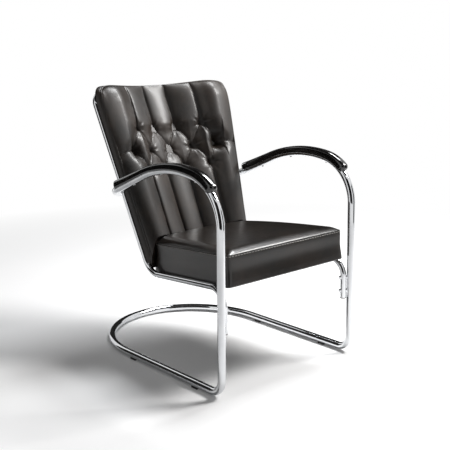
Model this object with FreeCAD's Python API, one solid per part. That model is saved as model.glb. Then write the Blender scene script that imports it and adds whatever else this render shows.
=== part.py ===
import FreeCAD, Part
import math
import os
from FreeCAD import Vector

# Cantilever lounge chair. Millimetres, +Z up, floor at z = 0, the chair faces -Y.
# x = 0 is the plane of symmetry. While the shapes are built y = 0 is the plane of the
# front legs; each node is then moved so that the origin lies at mid-depth.

# Main tube: floor loop, legs, arms and the bar behind the back
mainDia = 25.0
mainWall = 2.0
frameWidth = 575.0          # leg centre to leg centre
glideRise = 2.5             # height of the tube above the floor
footRadius = 47.0
legTop = 517.5              # height where the front leg starts to bend
armFrontRadius = 146.0
armFrontTurn = 79.0         # degrees
armCrownRadius = 437.0
hookRadius = 76.0
barAlong = 288.8            # where the bar crosses the back, along the uprights
barBehind = 48.5            # middle of the bar behind the uprights
runnerEnd = 480.0           # where the floor loop starts to turn
loopSideRadius = 320.0
loopSideTurn = 46.0         # degrees
buttGap = 0.4               # where the two ends of the tube meet
sleeveLength = 120.0
sleeveWall = 2.0
slideFit = 0.15

# Thin tube: rails under the seat, uprights and bow of the back
thinDia = 20.0
thinWall = 1.5
thinInset = 21.0            # leg centre to thin tube, across
thinY = 12.0
thinEndZ = 198.0
railFrontZ = 335.5
railFrontRadius = 56.0
railRearInset = 67.5        # leg centre to the rear corner of the rail, across
railRearY = 440.0
railRearZ = 287.5
railRearRadius = 60.0
recline = 19.05             # degrees from the upright
uprightLength = 624.0
uprightTopOut = 4.5         # top corner of the back outside the leg centre
topCornerRadius = 34.0
bowDepth = 115.0            # how far back the two halves of the bow would meet
bowStraight = 20.0          # straight piece between corner and bow
plugFlange = 2.0
plugDepth = 14.0

# Fasteners between thin tube and legs
boltDia = 6.0
boltHeadDia = 12.0
boltHeadHeight = 4.5
boltLowZ = 221.5
boltHighZ = 267.5
holeFit = 0.2
insertDia = 9.0
insertLength = 11.0
saddleDia = 12.0
washerDia = 13.0
washerThick = 1.2           # over the crown of the tube

# Arm pads
padWidth = 35.0
padSide = 9.0               # straight side above the middle of the tube
padMid = 22.5               # top above the middle of the tube, halfway
padEnd = 30.0               # the same at both ends
padStart = 43.0             # degrees up the front bend of the arm
padTail = 14.0              # how far the pad goes on past the straight of the arm
padFit = 0.3
padNoseLength = 11.0
padSteps = 22
padScrewDia = 4.0
padScrewHead = 7.0
padScrewHeadHeight = 2.2
padScrewBite = 8.0

# Seat
seatFrontY = 9.5            # at the seam
seatRailGap = 3.5           # between the cushion and the rails
seatDrop = 11.0             # underside of the cushion below the top of the rails
seatHeight = 98.5           # from the underside to the seam round the top
seatRise = 13.0             # how far the top panel rises from its seam
seatRoll = 34.0             # over this width
seatCrown = 6.0             # and the middle above that
seatLean = 7.0              # the foot of the front stands forward of its seam
seatPinch = 3.0             # how far the sides are drawn in between seams
seatBackGap = 1.0
seatRearSide = (445.7, 415.7)   # rear edge at the sides: at the foot and at the head of the back's room
seatRearMiddle = (430.0, 475.0) # the same on the centre line
seatRearZ = (250.0, 450.0)
woodWidth = 42.0
woodHeight = 22.0
woodInset = 16.0
pocketFit = 0.5
woodRearY = 372.0
webWidth = 48.0
webThick = 2.0
webCount = 4
webEdge = 4.0               # webbing ends inside the edge of the wood
layerGap = 0.15
dustThick = 1.2
tabWidth = 26.0
tabThick = 3.0
tabReach = 40.0
tabDrop = 0.3               # gap over the tab
weldGap = 0.05
seatTabShares = (0.216, 0.75)   # along the rail
seatScrewDia = 5.0
seatScrewHead = 9.0
seatScrewBite = 14.0

# Back
backLow = 34.0              # lower end of the padding along the uprights
backHigh = 658.0
shellLow = 30.0
shellThick = 10.0
shellFit = 1.0
shellCorner = 26.0
padCorner = 44.0
padBehind = 13.0            # rear of the padding at its edges, ahead of the upright's middle
bellySlope = -0.100         # how the shell's middle runs back with height
barClear = 0.8              # between the rear cover and the bar behind it
fluteLow = 0.374            # width of a flute as a share of half the back, at its lower end
fluteHigh = 0.325           # and at its upper end
grooveFrom = 120.0          # height at which the grooves and the bolsters are given
innerGroove = 6.0
innerSlope = -0.112
outerGroove = 32.0
outerSlope = -0.074
fluteBulge = 15.0
bolsterFront = 58.0
bolsterSlope = -0.040
wallRear = 9.8              # rear edge of the side panel, just ahead of the tube
wallRearOut = 5.0           # and outside the middle of the tube
wallFront = 30.0            # front edge of the side panel
wallFrontIn = 8.0           # and inside the middle of the tube
bolsterShift = 6.0          # the bolster's crest, outward of halfway
topRound = 16.0
padEdge = 4.0               # thickness that is left at a rounded end
padTrim = 0.5               # taken off the top of the padding where its corners are rounded
coverThick = 2.0
coverGap = 0.4
coverInset = 2.0            # the cover stays inside the shell's edge
trimOver = 4.0              # blanks stand past their outline by this
buttonDia = 18.0
buttonHeight = 7.0
pitEase = 0.5               # room around a button
pitDia = 50.0               # across the funnel over a button
pitReach = 40.0             # that far in front of the button's foot
pitDepth = 9.0
oddRow = (-1.5, -0.5, 0.5, 1.5)
evenRow = (-2.0, -1.0, 0.0, 1.0, 2.0)
buttonRowAt = ((0.793, oddRow), (0.6667, evenRow), (0.553, oddRow))    # shares of the upright, and columns
backBoltX = 95.0
backBoltDia = 6.0
backBoltHeadDia = 14.0
backBoltHeadHeight = 3.0
backSpacerDia = 22.0
backNutDia = 12.0
backNutHeight = 8.0
backTabShares = (0.24, 0.80)    # where the tabs sit, as shares of the upright
tabScrewDia = 4.0
tabScrewHead = 8.0
tabScrewHeadHeight = 1.8
tabScrewBite = 14.0
backTabWidth = 24.0
backTabThick = 2.5
backTabReach = 34.0

# Floor glides
glideShares = (0.254, 0.929)    # along the runner
glideWidth = 18.0
glideLength = 26.0
glideHeight = 9.0
glidePegDia = 6.0
glidePegHeight = 9.0

# Sizes that follow from the ones above
mainR = mainDia / 2
thinR = thinDia / 2
halfWidth = frameWidth / 2
thinX = halfWidth - thinInset
railRearX = halfWidth - railRearInset
uprightTopX = halfWidth + uprightTopOut
reachAll = 2 * uprightLength    # longer than anything that is cut or trimmed with it
rodReach = 2.4 * mainR          # half the length of the bars that trim the fasteners of a leg
axisZ = glideRise + mainR
leanSin = math.sin(math.radians(recline))
leanCos = math.cos(math.radians(recline))
railSlope = (railFrontZ - railRearZ) / (railRearY - thinY)
railInward = (thinX - railRearX) / (railRearY - thinY)
flare = (uprightTopX - railRearX) / uprightLength
buttonRows = [(share * uprightLength, columns) for share, columns in buttonRowAt]
glideYs = [share * runnerEnd for share in glideShares]
seatTabYs = [share * railRearY for share in seatTabShares]

os.makedirs("parts", exist_ok=True)


def save(name, shapes):
    """Write one node; several solids share it as separate solids. The origin moves to mid-depth."""
    solids = []
    for shape in shapes if isinstance(shapes, (list, tuple)) else [shapes]:
        solids += [solid.translated(Vector(0, -midDepth, 0)) for solid in shape.Solids]
    body = solids[0] if len(solids) == 1 else Part.makeCompound(solids)
    body.exportStep("parts/%s.step" % name)
    volume = sum(s.Volume for s in solids)
    print("%-22s %2d solids  %9.0f mm3  valid %s" % (name, len(solids), volume, body.isValid()))


def mirrored(shape):
    return shape.mirror(Vector(0, 0, 0), Vector(1, 0, 0))


def polar(centre, first, second, radius, angle):
    """Point on a circle, with its angle in degrees from the first direction to the second."""
    a = math.radians(angle)
    return centre + first * (radius * math.cos(a)) + second * (radius * math.sin(a))


def arcEdge(centre, first, second, radius, start, end):
    points = [polar(centre, first, second, radius, t) for t in (start, (start + end) / 2, end)]
    return Part.Arc(*points).toShape()


def lineEdge(a, b):
    return Part.LineSegment(a, b).toShape()


def rod(wire, radius):
    """Round bar along a wire that starts on a straight or an arc."""
    first = wire.OrderedEdges[0]
    start = wire.OrderedVertexes[0].Point
    at = first.ParameterRange[0]
    if (first.valueAt(at) - start).Length > 1e-6:
        at = first.ParameterRange[1]
    profile = Part.Wire(Part.makeCircle(radius, start, first.tangentAt(at)))
    return wire.makePipeShell([profile], True, False)


def tube(wire, dia, wall):
    return rod(wire, dia / 2).cut(rod(wire, dia / 2 - wall))


def bentWire(points, radii):
    """Straight runs through the points, with an arc of its own radius at each inner point."""
    edges = []
    last = points[0]
    for before, corner, after, radius in zip(points, points[1:], points[2:], radii):
        a = (before - corner).normalize()
        b = (after - corner).normalize()
        half = a.getAngle(b) / 2
        start = corner + a * (radius / math.tan(half))
        end = corner + b * (radius / math.tan(half))
        centre = corner + (a + b).normalize() * (radius / math.sin(half))
        middle = centre + (corner - centre).normalize() * radius
        edges.append(lineEdge(last, start))
        edges.append(Part.Arc(start, middle, end).toShape())
        last = end
    edges.append(lineEdge(last, points[-1]))
    return Part.Wire(edges)


def prism(points, sweep):
    """Solid swept from a flat outline."""
    outline = Part.Wire([lineEdge(a, b) for a, b in zip(points, points[1:] + points[:1])])
    return Part.Face(outline).extrude(sweep)


def cylinderFrom(a, b, radius):
    return Part.makeCylinder(radius, (b - a).Length, a, b - a)


xDir, yDir, zDir = Vector(1, 0, 0), Vector(0, 1, 0), Vector(0, 0, 1)
upDir = Vector(0, leanSin, leanCos)          # along the uprights, seen from the side
outDir = Vector(0, -leanCos, leanSin)        # out of the back, towards the sitter


def backPoint(x, s, o):
    """x across, s up along the back from the rear corner of the rails, o forward of the tubes."""
    return Vector(x, railRearY, railRearZ) + upDir * s + outDir * o


def backOutline(low, high, inset, corner):
    """Block over the back whose outline follows the uprights, with rounded upper corners."""
    def at(side, s):
        return backPoint(side * (railRearX + flare * s - inset), s, -reachAll / 2)

    bottom = backPoint(0, low, -reachAll / 2)
    outline = bentWire([bottom, at(-1, low), at(-1, high), at(1, high), at(1, low), bottom],
                       [corner / 10, corner, corner, corner / 10])
    return Part.Face(outline).extrude(outDir * reachAll)


# Path of the main tube, left half, from the bar behind the back down to the floor loop
armHeading = 90.0 - armFrontTurn
frontCentre = Vector(-halfWidth, armFrontRadius, legTop)
crownStart = polar(frontCentre, -yDir, zDir, armFrontRadius, armFrontTurn)
headUp = Vector(0, math.cos(math.radians(armHeading)), math.sin(math.radians(armHeading)))
crownCentre = crownStart - Vector(0, -headUp.z, headUp.y) * armCrownRadius

# The rear of the arm is the tangent from the bar's place to the crown of the arm
barPlace = backPoint(0, barAlong, -barBehind)
toBar = Vector(0, barPlace.y - crownCentre.y, barPlace.z - crownCentre.z)
armTangent = math.sqrt(toBar.Length ** 2 - armCrownRadius ** 2)
armStraight = armTangent - hookRadius
armFall = math.degrees(math.atan2(armCrownRadius, armTangent) - math.atan2(toBar.z, toBar.y))
crownEnd = polar(crownCentre, zDir, yDir, armCrownRadius, armFall)
fallDir = Vector(0, math.cos(math.radians(armFall)), -math.sin(math.radians(armFall)))
armEnd = crownEnd + fallDir * armStraight
hookCentre = armEnd + xDir * hookRadius
barPoint = hookCentre + fallDir * hookRadius
footCentre = Vector(-halfWidth, footRadius, axisZ + footRadius)
sideCentre = Vector(-halfWidth + loopSideRadius, runnerEnd, axisZ)
sideEnd = polar(sideCentre, -xDir, yDir, loopSideRadius, loopSideTurn)
rearRadius = -sideEnd.x / math.cos(math.radians(loopSideTurn))
rearCentre = sideEnd - polar(Vector(0, 0, 0), -xDir, yDir, rearRadius, loopSideTurn)
midDepth = (rearCentre.y + rearRadius) / 2


def frameEdges(side):
    """Edges of one side of the main tube, from the bar behind the back to the floor loop."""
    edges = [lineEdge(Vector(-buttGap / 2, barPoint.y, barPoint.z), barPoint),
             arcEdge(hookCentre, fallDir, -xDir, hookRadius, 0, 90),
             lineEdge(armEnd, crownEnd),
             arcEdge(crownCentre, zDir, yDir, armCrownRadius, armFall, -armHeading),
             arcEdge(frontCentre, -yDir, zDir, armFrontRadius, armFrontTurn, 0),
             lineEdge(Vector(-halfWidth, 0, legTop), Vector(-halfWidth, 0, footCentre.z)),
             arcEdge(footCentre, -yDir, -zDir, footRadius, 0, 90),
             lineEdge(Vector(-halfWidth, footRadius, axisZ), Vector(-halfWidth, runnerEnd, axisZ)),
             arcEdge(sideCentre, -xDir, yDir, loopSideRadius, 0, loopSideTurn),
             arcEdge(rearCentre, -xDir, yDir, rearRadius, loopSideTurn, 90)]
    if side < 0:
        return edges
    return [mirrored(edge) for edge in reversed(edges)]


mainWire = Part.Wire(frameEdges(-1) + frameEdges(1))

# Path of the thin tube, from the left leg over the back to the right leg
thinCorners = [Vector(-thinX, thinY, thinEndZ), Vector(-thinX, thinY, railFrontZ),
               Vector(-railRearX, railRearY, railRearZ), backPoint(-uprightTopX, uprightLength, 0)]
bowPoint = backPoint(0, uprightLength, -bowDepth)
bowTurn = math.atan2(bowDepth, uprightTopX)
bowRun = math.hypot(bowDepth, uprightTopX) - topCornerRadius - bowStraight
bowRadius = bowRun / math.tan(bowTurn)
thinWire = bentWire(thinCorners + [bowPoint] + [Vector(-p.x, p.y, p.z) for p in reversed(thinCorners)],
                    [railFrontRadius, railRearRadius, topCornerRadius, bowRadius,
                     topCornerRadius, railRearRadius, railFrontRadius])
bowMiddle = bowDepth - bowRadius * (1 / math.cos(bowTurn) - 1)


def uprightX(s):
    return railRearX + flare * s


def railPoint(y):
    """Middle of the left rail at a depth y, on its straight run."""
    return Vector(-thinX + railInward * (y - thinY), y, railFrontZ - railSlope * (y - thinY))


# Bolts that hold the thin tube to the legs, left side
boltDir = Vector(thinX - halfWidth, thinY, 0).normalize()
tubeGap = Vector(thinX - halfWidth, thinY, 0).Length - mainR - thinR


def boltSet(z):
    """Bolt, insert, saddle and curved washer, from the inner side of the thin tube into the leg."""
    leg = Vector(-halfWidth, 0, z)
    inward = Vector(-boltDir.x, boltDir.y, 0)
    thin = Vector(-thinX, thinY, z)
    head = thin + inward * thinR
    tip = leg + inward * (mainR - mainWall - insertLength + 2)
    rest = head + inward * washerThick
    bolt = cylinderFrom(rest, tip, boltDia / 2)
    dome = Part.makeSphere(boltHeadDia * 0.56, rest)
    cap = dome.common(cylinderFrom(rest, rest + inward * boltHeadHeight, boltHeadDia / 2))
    bolt = bolt.fuse(cap).removeSplitter()
    sleeve = cylinderFrom(leg + inward * (mainR - mainWall - insertLength + mainWall), leg + inward * mainR,
                          insertDia / 2)
    insert = sleeve.cut(cylinderFrom(tip - inward, head, boltDia / 2 + holeFit / 2))
    insert = insert.cut(rodAt(leg, mainR, keepInside=True))
    saddle = cylinderFrom(leg, thin, saddleDia / 2)
    saddle = saddle.cut(rodAt(leg, mainR + holeFit / 4)).cut(rodAt(thin, thinR + holeFit / 4))
    saddle = saddle.cut(cylinderFrom(leg, thin, boltDia / 2 + holeFit / 2))
    washer = cylinderFrom(thin, rest, washerDia / 2).cut(rodAt(thin, thinR + holeFit / 4))
    washer = washer.cut(cylinderFrom(thin, rest + inward, boltDia / 2 + holeFit / 2))
    return bolt, insert, saddle, washer


def rodAt(point, radius, keepInside=False):
    """Upright bar through a point; or everything outside it, for trimming to its inside."""
    low = Vector(point.x, point.y, point.z - rodReach)
    bar = Part.makeCylinder(radius, 2 * rodReach, low)
    if keepInside:
        corner = Vector(point.x - 2 * rodReach, point.y - 2 * rodReach, point.z - rodReach)
        return Part.makeBox(4 * rodReach, 4 * rodReach, 2 * rodReach, corner).cut(bar)
    return bar


legBolts, legInserts, legSaddles = [], [], []
thinHoles, mainHoles = [], []
for z in (boltLowZ, boltHighZ):
    bolt, insert, saddle, washer = boltSet(z)
    legBolts += [bolt, mirrored(bolt)]
    legInserts += [insert, mirrored(insert)]
    legSaddles += [saddle, mirrored(saddle), washer, mirrored(washer)]
    inward = Vector(-boltDir.x, boltDir.y, 0)
    thin, leg = Vector(-thinX, thinY, z), Vector(-halfWidth, 0, z)
    hole = cylinderFrom(thin - inward * (thinR + 1), thin + inward * (thinR + 1), boltDia / 2 + holeFit)
    thinHoles += [hole, mirrored(hole)]
    hole = cylinderFrom(leg + inward * 4, leg + inward * (mainR + 1), insertDia / 2 + holeFit / 4)
    mainHoles += [hole, mirrored(hole)]

# Arm pads: the profile is carried along the arm and widens towards both ends
armLengths = (armFrontRadius * math.radians(armFrontTurn - padStart),
              armCrownRadius * math.radians(armHeading + armFall), armStraight + padTail)
padLength = sum(armLengths)


def armFrameAt(distance):
    """Middle of the arm tube and its heading, a distance on from the front end of the pad."""
    if distance < armLengths[0]:
        turn = padStart + math.degrees(distance / armFrontRadius)
        point = polar(frontCentre, -yDir, zDir, armFrontRadius, turn)
        angle = 90.0 - turn
    elif distance < armLengths[0] + armLengths[1]:
        turn = math.degrees((distance - armLengths[0]) / armCrownRadius) - armHeading
        point = polar(crownCentre, zDir, yDir, armCrownRadius, turn)
        angle = -turn
    else:
        point = crownEnd + fallDir * (distance - armLengths[0] - armLengths[1])
        angle = -armFall
    heading = Vector(0, math.cos(math.radians(angle)), math.sin(math.radians(angle)))
    return point, heading


def padSection(distance, share):
    """Closed profile of the pad; share below 1 draws it in at a rounded end."""
    point, heading = armFrameAt(distance)
    normal = Vector(0, -heading.z, heading.y)
    middle = 2 * distance / padLength - 1
    top = padMid + (padEnd - padMid) * middle * middle
    half = padWidth / 2 * share
    low = padSide * (1 - share)
    corner = low + (padSide - low) * share
    crest = low + (top - low) * (0.35 + 0.65 * share)

    def at(x, h):
        return point + xDir * x + normal * h

    return Part.Wire([lineEdge(at(-half, low), at(half, low)), lineEdge(at(half, low), at(half, corner)),
                      Part.Arc(at(half, corner), at(0, crest), at(-half, corner)).toShape(),
                      lineEdge(at(-half, corner), at(-half, low))])


padNose = [(t * padNoseLength, share) for t, share in ((0.0, 0.50), (0.15, 0.72), (0.45, 0.90), (1.0, 1.0))]
padRun = padLength - 2 * padNose[-1][0]
padStations = padNose + [(padNose[-1][0] + padRun * k / padSteps, 1.0) for k in range(1, padSteps)]
padStations += [(padLength - distance, share) for distance, share in reversed(padNose)]
padBlank = Part.makeLoft([padSection(*station) for station in padStations], True, True)
armWire = Part.Wire(frameEdges(-1)[1:5])
armPad = padBlank.cut(rod(armWire, mainR + padFit))
padSolid = max(armPad.Solids, key=lambda s: s.Volume)

padScrews, padHoles, padPockets = [], [], []
for share in (0.16, 0.50, 0.80):
    point, heading = armFrameAt(padLength * share)
    normal = Vector(0, -heading.z, heading.y)
    under = point - normal * mainR
    screw = cylinderFrom(under, point + normal * (mainR + padScrewBite), padScrewDia / 2)
    head = cylinderFrom(under - normal * padScrewHeadHeight, under, padScrewHead / 2)
    screw = screw.fuse(head).removeSplitter()
    padScrews += [screw, mirrored(screw)]
    hole = cylinderFrom(under - normal, point + normal * (mainR + 1), padScrewDia / 2 + holeFit / 2)
    padHoles += [hole, mirrored(hole)]
    padPockets.append(cylinderFrom(point, point + normal * (mainR + padScrewBite), padScrewDia / 2 + 0.02))
for pocket in padPockets:
    padSolid = padSolid.cut(pocket)

# Floor glides: a saddle under the runner with a peg in its lower wall
glides, glideHoles = [], []
for y in glideYs:
    foot = Part.makeBox(glideWidth, glideLength, glideHeight,
                        Vector(-halfWidth - glideWidth / 2, y - glideLength / 2, 0))
    above = Vector(-halfWidth, y, axisZ)
    runner = cylinderFrom(above - yDir * glideLength, above + yDir * glideLength, mainR + slideFit)
    peg = Part.makeCylinder(glidePegDia / 2, glidePegHeight, Vector(-halfWidth, y, 0))
    glide = foot.cut(runner).fuse(peg).removeSplitter()
    glides += [glide, mirrored(glide)]
    pegHole = glidePegDia / 2 + holeFit / 2
    hole = Part.makeCylinder(pegHole, glideRise + 2 * mainWall, Vector(-halfWidth, y, 0))
    glideHoles += [hole, mirrored(hole)]

# Back: the shell between the uprights, its rear cover and the padding in front
bar = barPoint - Vector(0, railRearY, railRearZ)
barS = bar.y * upDir.y + bar.z * upDir.z
barO = bar.y * outDir.y + bar.z * outDir.z


def belly(s):
    """Rear face of the shell on the centre line; its cover just clears the bar."""
    return barO + mainR + barClear + coverThick + coverGap + bellySlope * (s - barS)


def shellSection(s, front, rear, half):
    """Curved strip across the back: front and rear are measured forward from the shell's rear face."""
    edge = padBehind - shellThick

    def at(x, extra):
        bend = 1 - (x / uprightX(s)) ** 2
        return backPoint(x, s, edge + (belly(s) - edge) * bend + extra)

    return Part.Wire([Part.Arc(at(-half, rear), at(0, rear), at(half, rear)).toShape(),
                      lineEdge(at(half, rear), at(half, front)),
                      Part.Arc(at(half, front), at(0, front), at(-half, front)).toShape(),
                      lineEdge(at(-half, front), at(-half, rear))])


def strip(low, high, rear, front, inset):
    """Loft between the lower and upper ends of the shell or of a layer on it."""
    sections = [shellSection(s, front, rear, uprightX(s) - thinR - inset) for s in (low, high)]
    return Part.makeLoft(sections, True, True)


shellHigh = uprightLength - thinR - 2 * shellFit
backShell = strip(shellLow, shellHigh + trimOver, 0, shellThick, shellFit)
backShell = backShell.common(backOutline(0, shellHigh, thinR + shellFit / 2, shellCorner))
rearCover = strip(shellLow + coverInset, shellHigh, -coverGap - coverThick, -coverGap, shellFit + coverInset)
coverEdge = thinR + shellFit + coverInset / 2
rearCover = rearCover.common(backOutline(0, shellHigh - coverInset, coverEdge, shellCorner))


def groove(x, s):
    """Depth of the sewn lines in front of the uprights, between the inner and the outer ones."""
    rise = s - grooveFrom
    inner = innerGroove + innerSlope * rise
    outer = outerGroove + outerSlope * rise
    step = flutePitch(s)
    share = ((x / step) ** 2 - 0.25) / 2.0
    return inner + (outer - inner) * share


def flutePitch(s):
    share = fluteLow + (fluteHigh - fluteLow) * (s - backLow) / (backHigh - backLow)
    return share * uprightX(s)


def padFace(s, shrink):
    """Outline of the padding across the back; shrink pulls its front in towards its rear."""
    step = flutePitch(s)
    half = uprightX(s) - wallFrontIn
    outer = uprightX(s) + wallRearOut
    inner = uprightX(s) - thinR - shellFit
    middle = belly(s) + shellThick + coverGap
    seam = padBehind + (belly(s) + shellThick - padBehind) * (1 - (inner / uprightX(s)) ** 2) + coverGap
    keep = 1 - shrink

    def back(x):
        return wallRear + (middle - wallRear) * (1 - (x / outer) ** 2)

    def front(x, o):
        base = back(x)
        return backPoint(x, s, base + padEdge * shrink + (o - base) * keep)

    lines = [(x * step, groove(x * step, s)) for x in (-1.5, -0.5, 0.5, 1.5)]
    edges = []
    crestX = (1.5 * step + half) / 2 + bolsterShift
    crest = bolsterFront + bolsterSlope * (s - grooveFrom)
    grooves = [front(x, o) for x, o in lines]
    edges.append(Part.Arc(front(-half, wallFront), front(-crestX, crest), grooves[0]).toShape())
    for k in range(3):
        x = (lines[k][0] + lines[k + 1][0]) / 2
        o = (lines[k][1] + lines[k + 1][1]) / 2 + fluteBulge
        edges.append(Part.Arc(grooves[k], front(x, o), grooves[k + 1]).toShape())
    edges.append(Part.Arc(grooves[3], front(crestX, crest), front(half, wallFront)).toShape())
    edges.append(lineEdge(front(half, wallFront), backPoint(outer, s, wallRear)))
    edges.append(lineEdge(backPoint(outer, s, wallRear), backPoint(inner, s, seam)))
    rearArc = [backPoint(x, s, o) for x, o in ((inner, seam), (0, middle), (-inner, seam))]
    edges.append(Part.Arc(*rearArc).toShape())
    edges.append(lineEdge(backPoint(-inner, s, seam), backPoint(-outer, s, wallRear)))
    edges.append(lineEdge(backPoint(-outer, s, wallRear), front(-half, wallFront)))
    return Part.Wire(edges)


padRows = [(backLow, 0.35), (backLow + topRound, 0.0)]
padRows += [(row[0], 0.0) for row in reversed(buttonRows)]
padRows += [(backHigh - 2 * topRound, 0.0), (backHigh - topRound / 2, 0.18), (backHigh, 0.55)]
backPad = Part.makeLoft([padFace(*row) for row in padRows], True, True)
buttons, pits = [], []
for s, columns in buttonRows:
    for column in columns:
        x = column * flutePitch(s)
        seat = groove(x, s) if abs(column) < 1.6 else groove(1.5 * flutePitch(s), s) + pitDepth
        foot = backPoint(x, s, seat)
        pit = Part.makeCone(buttonDia / 2 + pitEase, pitDia / 2, pitReach, foot, outDir)
        pits.append(pit)
        stud = Part.makeCylinder(buttonDia / 2, buttonHeight * 0.45, foot + outDir * 0.05, outDir)
        ball = (buttonDia / 2) ** 2 / (2 * buttonHeight * 0.55) + buttonHeight * 0.55 / 2
        top = foot + outDir * (buttonHeight * 0.45 + 0.05)
        cap = Part.makeSphere(ball, top - outDir * (ball - buttonHeight * 0.55))
        cap = cap.common(Part.makeCylinder(buttonDia / 2, buttonHeight, top, outDir))
        buttons.append(stud.fuse(cap).removeSplitter())
for pit in pits:
    backPad = backPad.cut(pit)

backPad = backPad.common(backOutline(backLow - 2 * topRound, backHigh - padTrim, -wallRearOut - padTrim,
                                     padCorner))
thinClear = rod(thinWire, thinR + padFit)
backPad = max(backPad.cut(thinClear).Solids, key=lambda solid: solid.Volume)

# Bolts through the shell and the bar behind it
backBolts, backSpacers, backNuts, barHoles, shellHoles, coverHoles = [], [], [], [], [], []
edge = padBehind - shellThick
shellRear = edge + (belly(barS) - edge) * (1 - (backBoltX / uprightX(barS)) ** 2)
for x in (-backBoltX, backBoltX):
    frontEnd = backPoint(x, barS, shellRear + shellThick - backBoltHeadHeight)
    rearEnd = backPoint(x, barS, barO - mainR)
    shank = cylinderFrom(frontEnd, rearEnd - outDir * (backNutHeight - 2), backBoltDia / 2)
    head = Part.makeCylinder(backBoltHeadDia / 2, backBoltHeadHeight - 1.0, frontEnd, outDir)
    backBolts.append(shank.fuse(head).removeSplitter())
    clearShank = cylinderFrom(frontEnd + outDir * 6, rearEnd - outDir * 12, backBoltDia / 2 + holeFit)
    onBar = backPoint(x, barS, barO)
    spacer = cylinderFrom(backPoint(x, barS, shellRear - coverGap), onBar, backSpacerDia / 2)
    barRod = cylinderFrom(onBar - xDir * backSpacerDia, onBar + xDir * backSpacerDia, mainR + slideFit)
    spacer = spacer.cut(barRod).cut(clearShank).cut(rearCover)
    backSpacers.append(max(spacer.Solids, key=lambda solid: solid.Volume))
    nut = Part.makeCylinder(backNutDia / 2, backNutHeight * 0.5 + 1.5, rearEnd + outDir * 1.5, -outDir)
    dome = Part.makeSphere(backNutDia / 2, rearEnd - outDir * backNutHeight * 0.5)
    nut = nut.fuse(dome).cut(barRod).cut(cylinderFrom(frontEnd, rearEnd - outDir * (backNutHeight - 2),
                                                      backBoltDia / 2 + 0.02))
    backNuts.append(max(nut.Solids, key=lambda solid: solid.Volume))
    barHoles.append(cylinderFrom(backPoint(x, barS, barO - mainR - 2), backPoint(x, barS, barO + mainR + 2),
                                 backBoltDia / 2 + holeFit))
    shellHoles.append(clearShank)
    shellHoles.append(Part.makeCylinder(backBoltHeadDia / 2 + holeFit, shellThick, frontEnd, outDir))
    coverHoles.append(clearShank)
for hole in shellHoles:
    backShell = backShell.cut(hole)
for hole in coverHoles:
    rearCover = rearCover.cut(hole)

# Tabs welded to the uprights, behind the shell, with their screws
tabsBack, tabScrews = [], []
for share in backTabShares:
    s = share * uprightLength
    outer = uprightX(s) - thinR * 0.35
    inner = outer - backTabReach
    half = inner + backTabReach * 0.35
    rearAt = edge + (belly(s) - edge) * (1 - (half / uprightX(s)) ** 2) - coverGap - coverThick
    plane = rearAt - 6.0
    corner = backPoint(-outer, s - backTabWidth / 2, plane - backTabThick)
    box = prism([corner, corner + xDir * backTabReach, corner + xDir * backTabReach + upDir * backTabWidth,
                 corner + upDir * backTabWidth], outDir * backTabThick)
    below, above = s - backTabWidth, s + backTabWidth
    upright = cylinderFrom(backPoint(-uprightX(below), below, 0), backPoint(-uprightX(above), above, 0),
                           thinR + weldGap)
    tab = max(box.cut(upright).Solids, key=lambda solid: solid.Volume)
    hole = backPoint(-half, s, plane - backTabThick)
    tab = tab.cut(cylinderFrom(hole - outDir, hole + outDir * tabScrewBite, tabScrewDia / 2 + holeFit))
    tabsBack += [tab, mirrored(tab)]
    screw = cylinderFrom(hole, hole + outDir * tabScrewBite, tabScrewDia / 2)
    head = cylinderFrom(hole - outDir * tabScrewHeadHeight, hole, tabScrewHead / 2)
    screw = screw.fuse(head).removeSplitter()
    tabScrews += [screw, mirrored(screw)]
    pilot = cylinderFrom(hole, hole + outDir * tabScrewBite, tabScrewDia / 2 + holeFit / 4)
    for cutter in (pilot, mirrored(pilot)):
        backShell = backShell.cut(cutter)
        rearCover = rearCover.cut(cutter)

# Seat cushion, lofted from front to rear, then cut to the curve of the back


def seatBase(y):
    """Height of the cushion's underside."""
    return railFrontZ - railSlope * (y - thinY) + thinR - seatDrop


def seatHalf(y):
    """Half the cushion's width, a fixed gap inside the rails."""
    return thinX - thinR - seatRailGap - (y - seatFrontY) * railInward


def seatSection(y, rise, lean):
    """Profile across the seat: drawn-in sides up to the seam, then the crowned top panel."""
    half = seatHalf(y)
    low = seatBase(y)
    seam = low + seatHeight
    top = seam + seatRise * rise
    shoulder = half - seatRoll

    def at(x, z):
        return Vector(x, y - seatLean * lean * (seam - z) / seatHeight, z)

    left = [at(-half, seam), at(-half + seatRoll * 0.3, seam + (top - seam) * 0.72), at(-shoulder, top)]
    right = [at(shoulder, top), at(half - seatRoll * 0.3, seam + (top - seam) * 0.72), at(half, seam)]
    crown = at(0, top + seatCrown * rise)
    waist = (low + seam) / 2
    return Part.Wire([
        lineEdge(at(-half, low), at(half, low)),
        Part.Arc(at(half, low), at(half - seatPinch, waist), at(half, seam)).toShape(),
        Part.Arc(*reversed(right)).toShape(),
        Part.Arc(right[0], crown, left[2]).toShape(),
        Part.Arc(*reversed(left)).toShape(),
        Part.Arc(at(-half, seam), at(-half + seatPinch, waist), at(-half, low)).toShape()])


seatRearY = railRearY + railRearRadius
seatDepth = seatRearY - seatFrontY
seatRows = [seatSection(seatFrontY + seatRoll * step, rise, lean)
            for step, rise, lean in ((0.0, 0.12, 1.0), (0.1, 0.42, 0.97), (0.3, 0.72, 0.9), (0.6, 0.92, 0.8),
                                     (1.0, 1.0, 0.6), (2.5, 1.0, 0.0))]
seatRows += [seatSection(seatFrontY + seatDepth * share, 1.0, 0.0) for share in (0.5, 0.75, 1.0)]
seatBlank = Part.makeLoft(seatRows, True, True)


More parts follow.
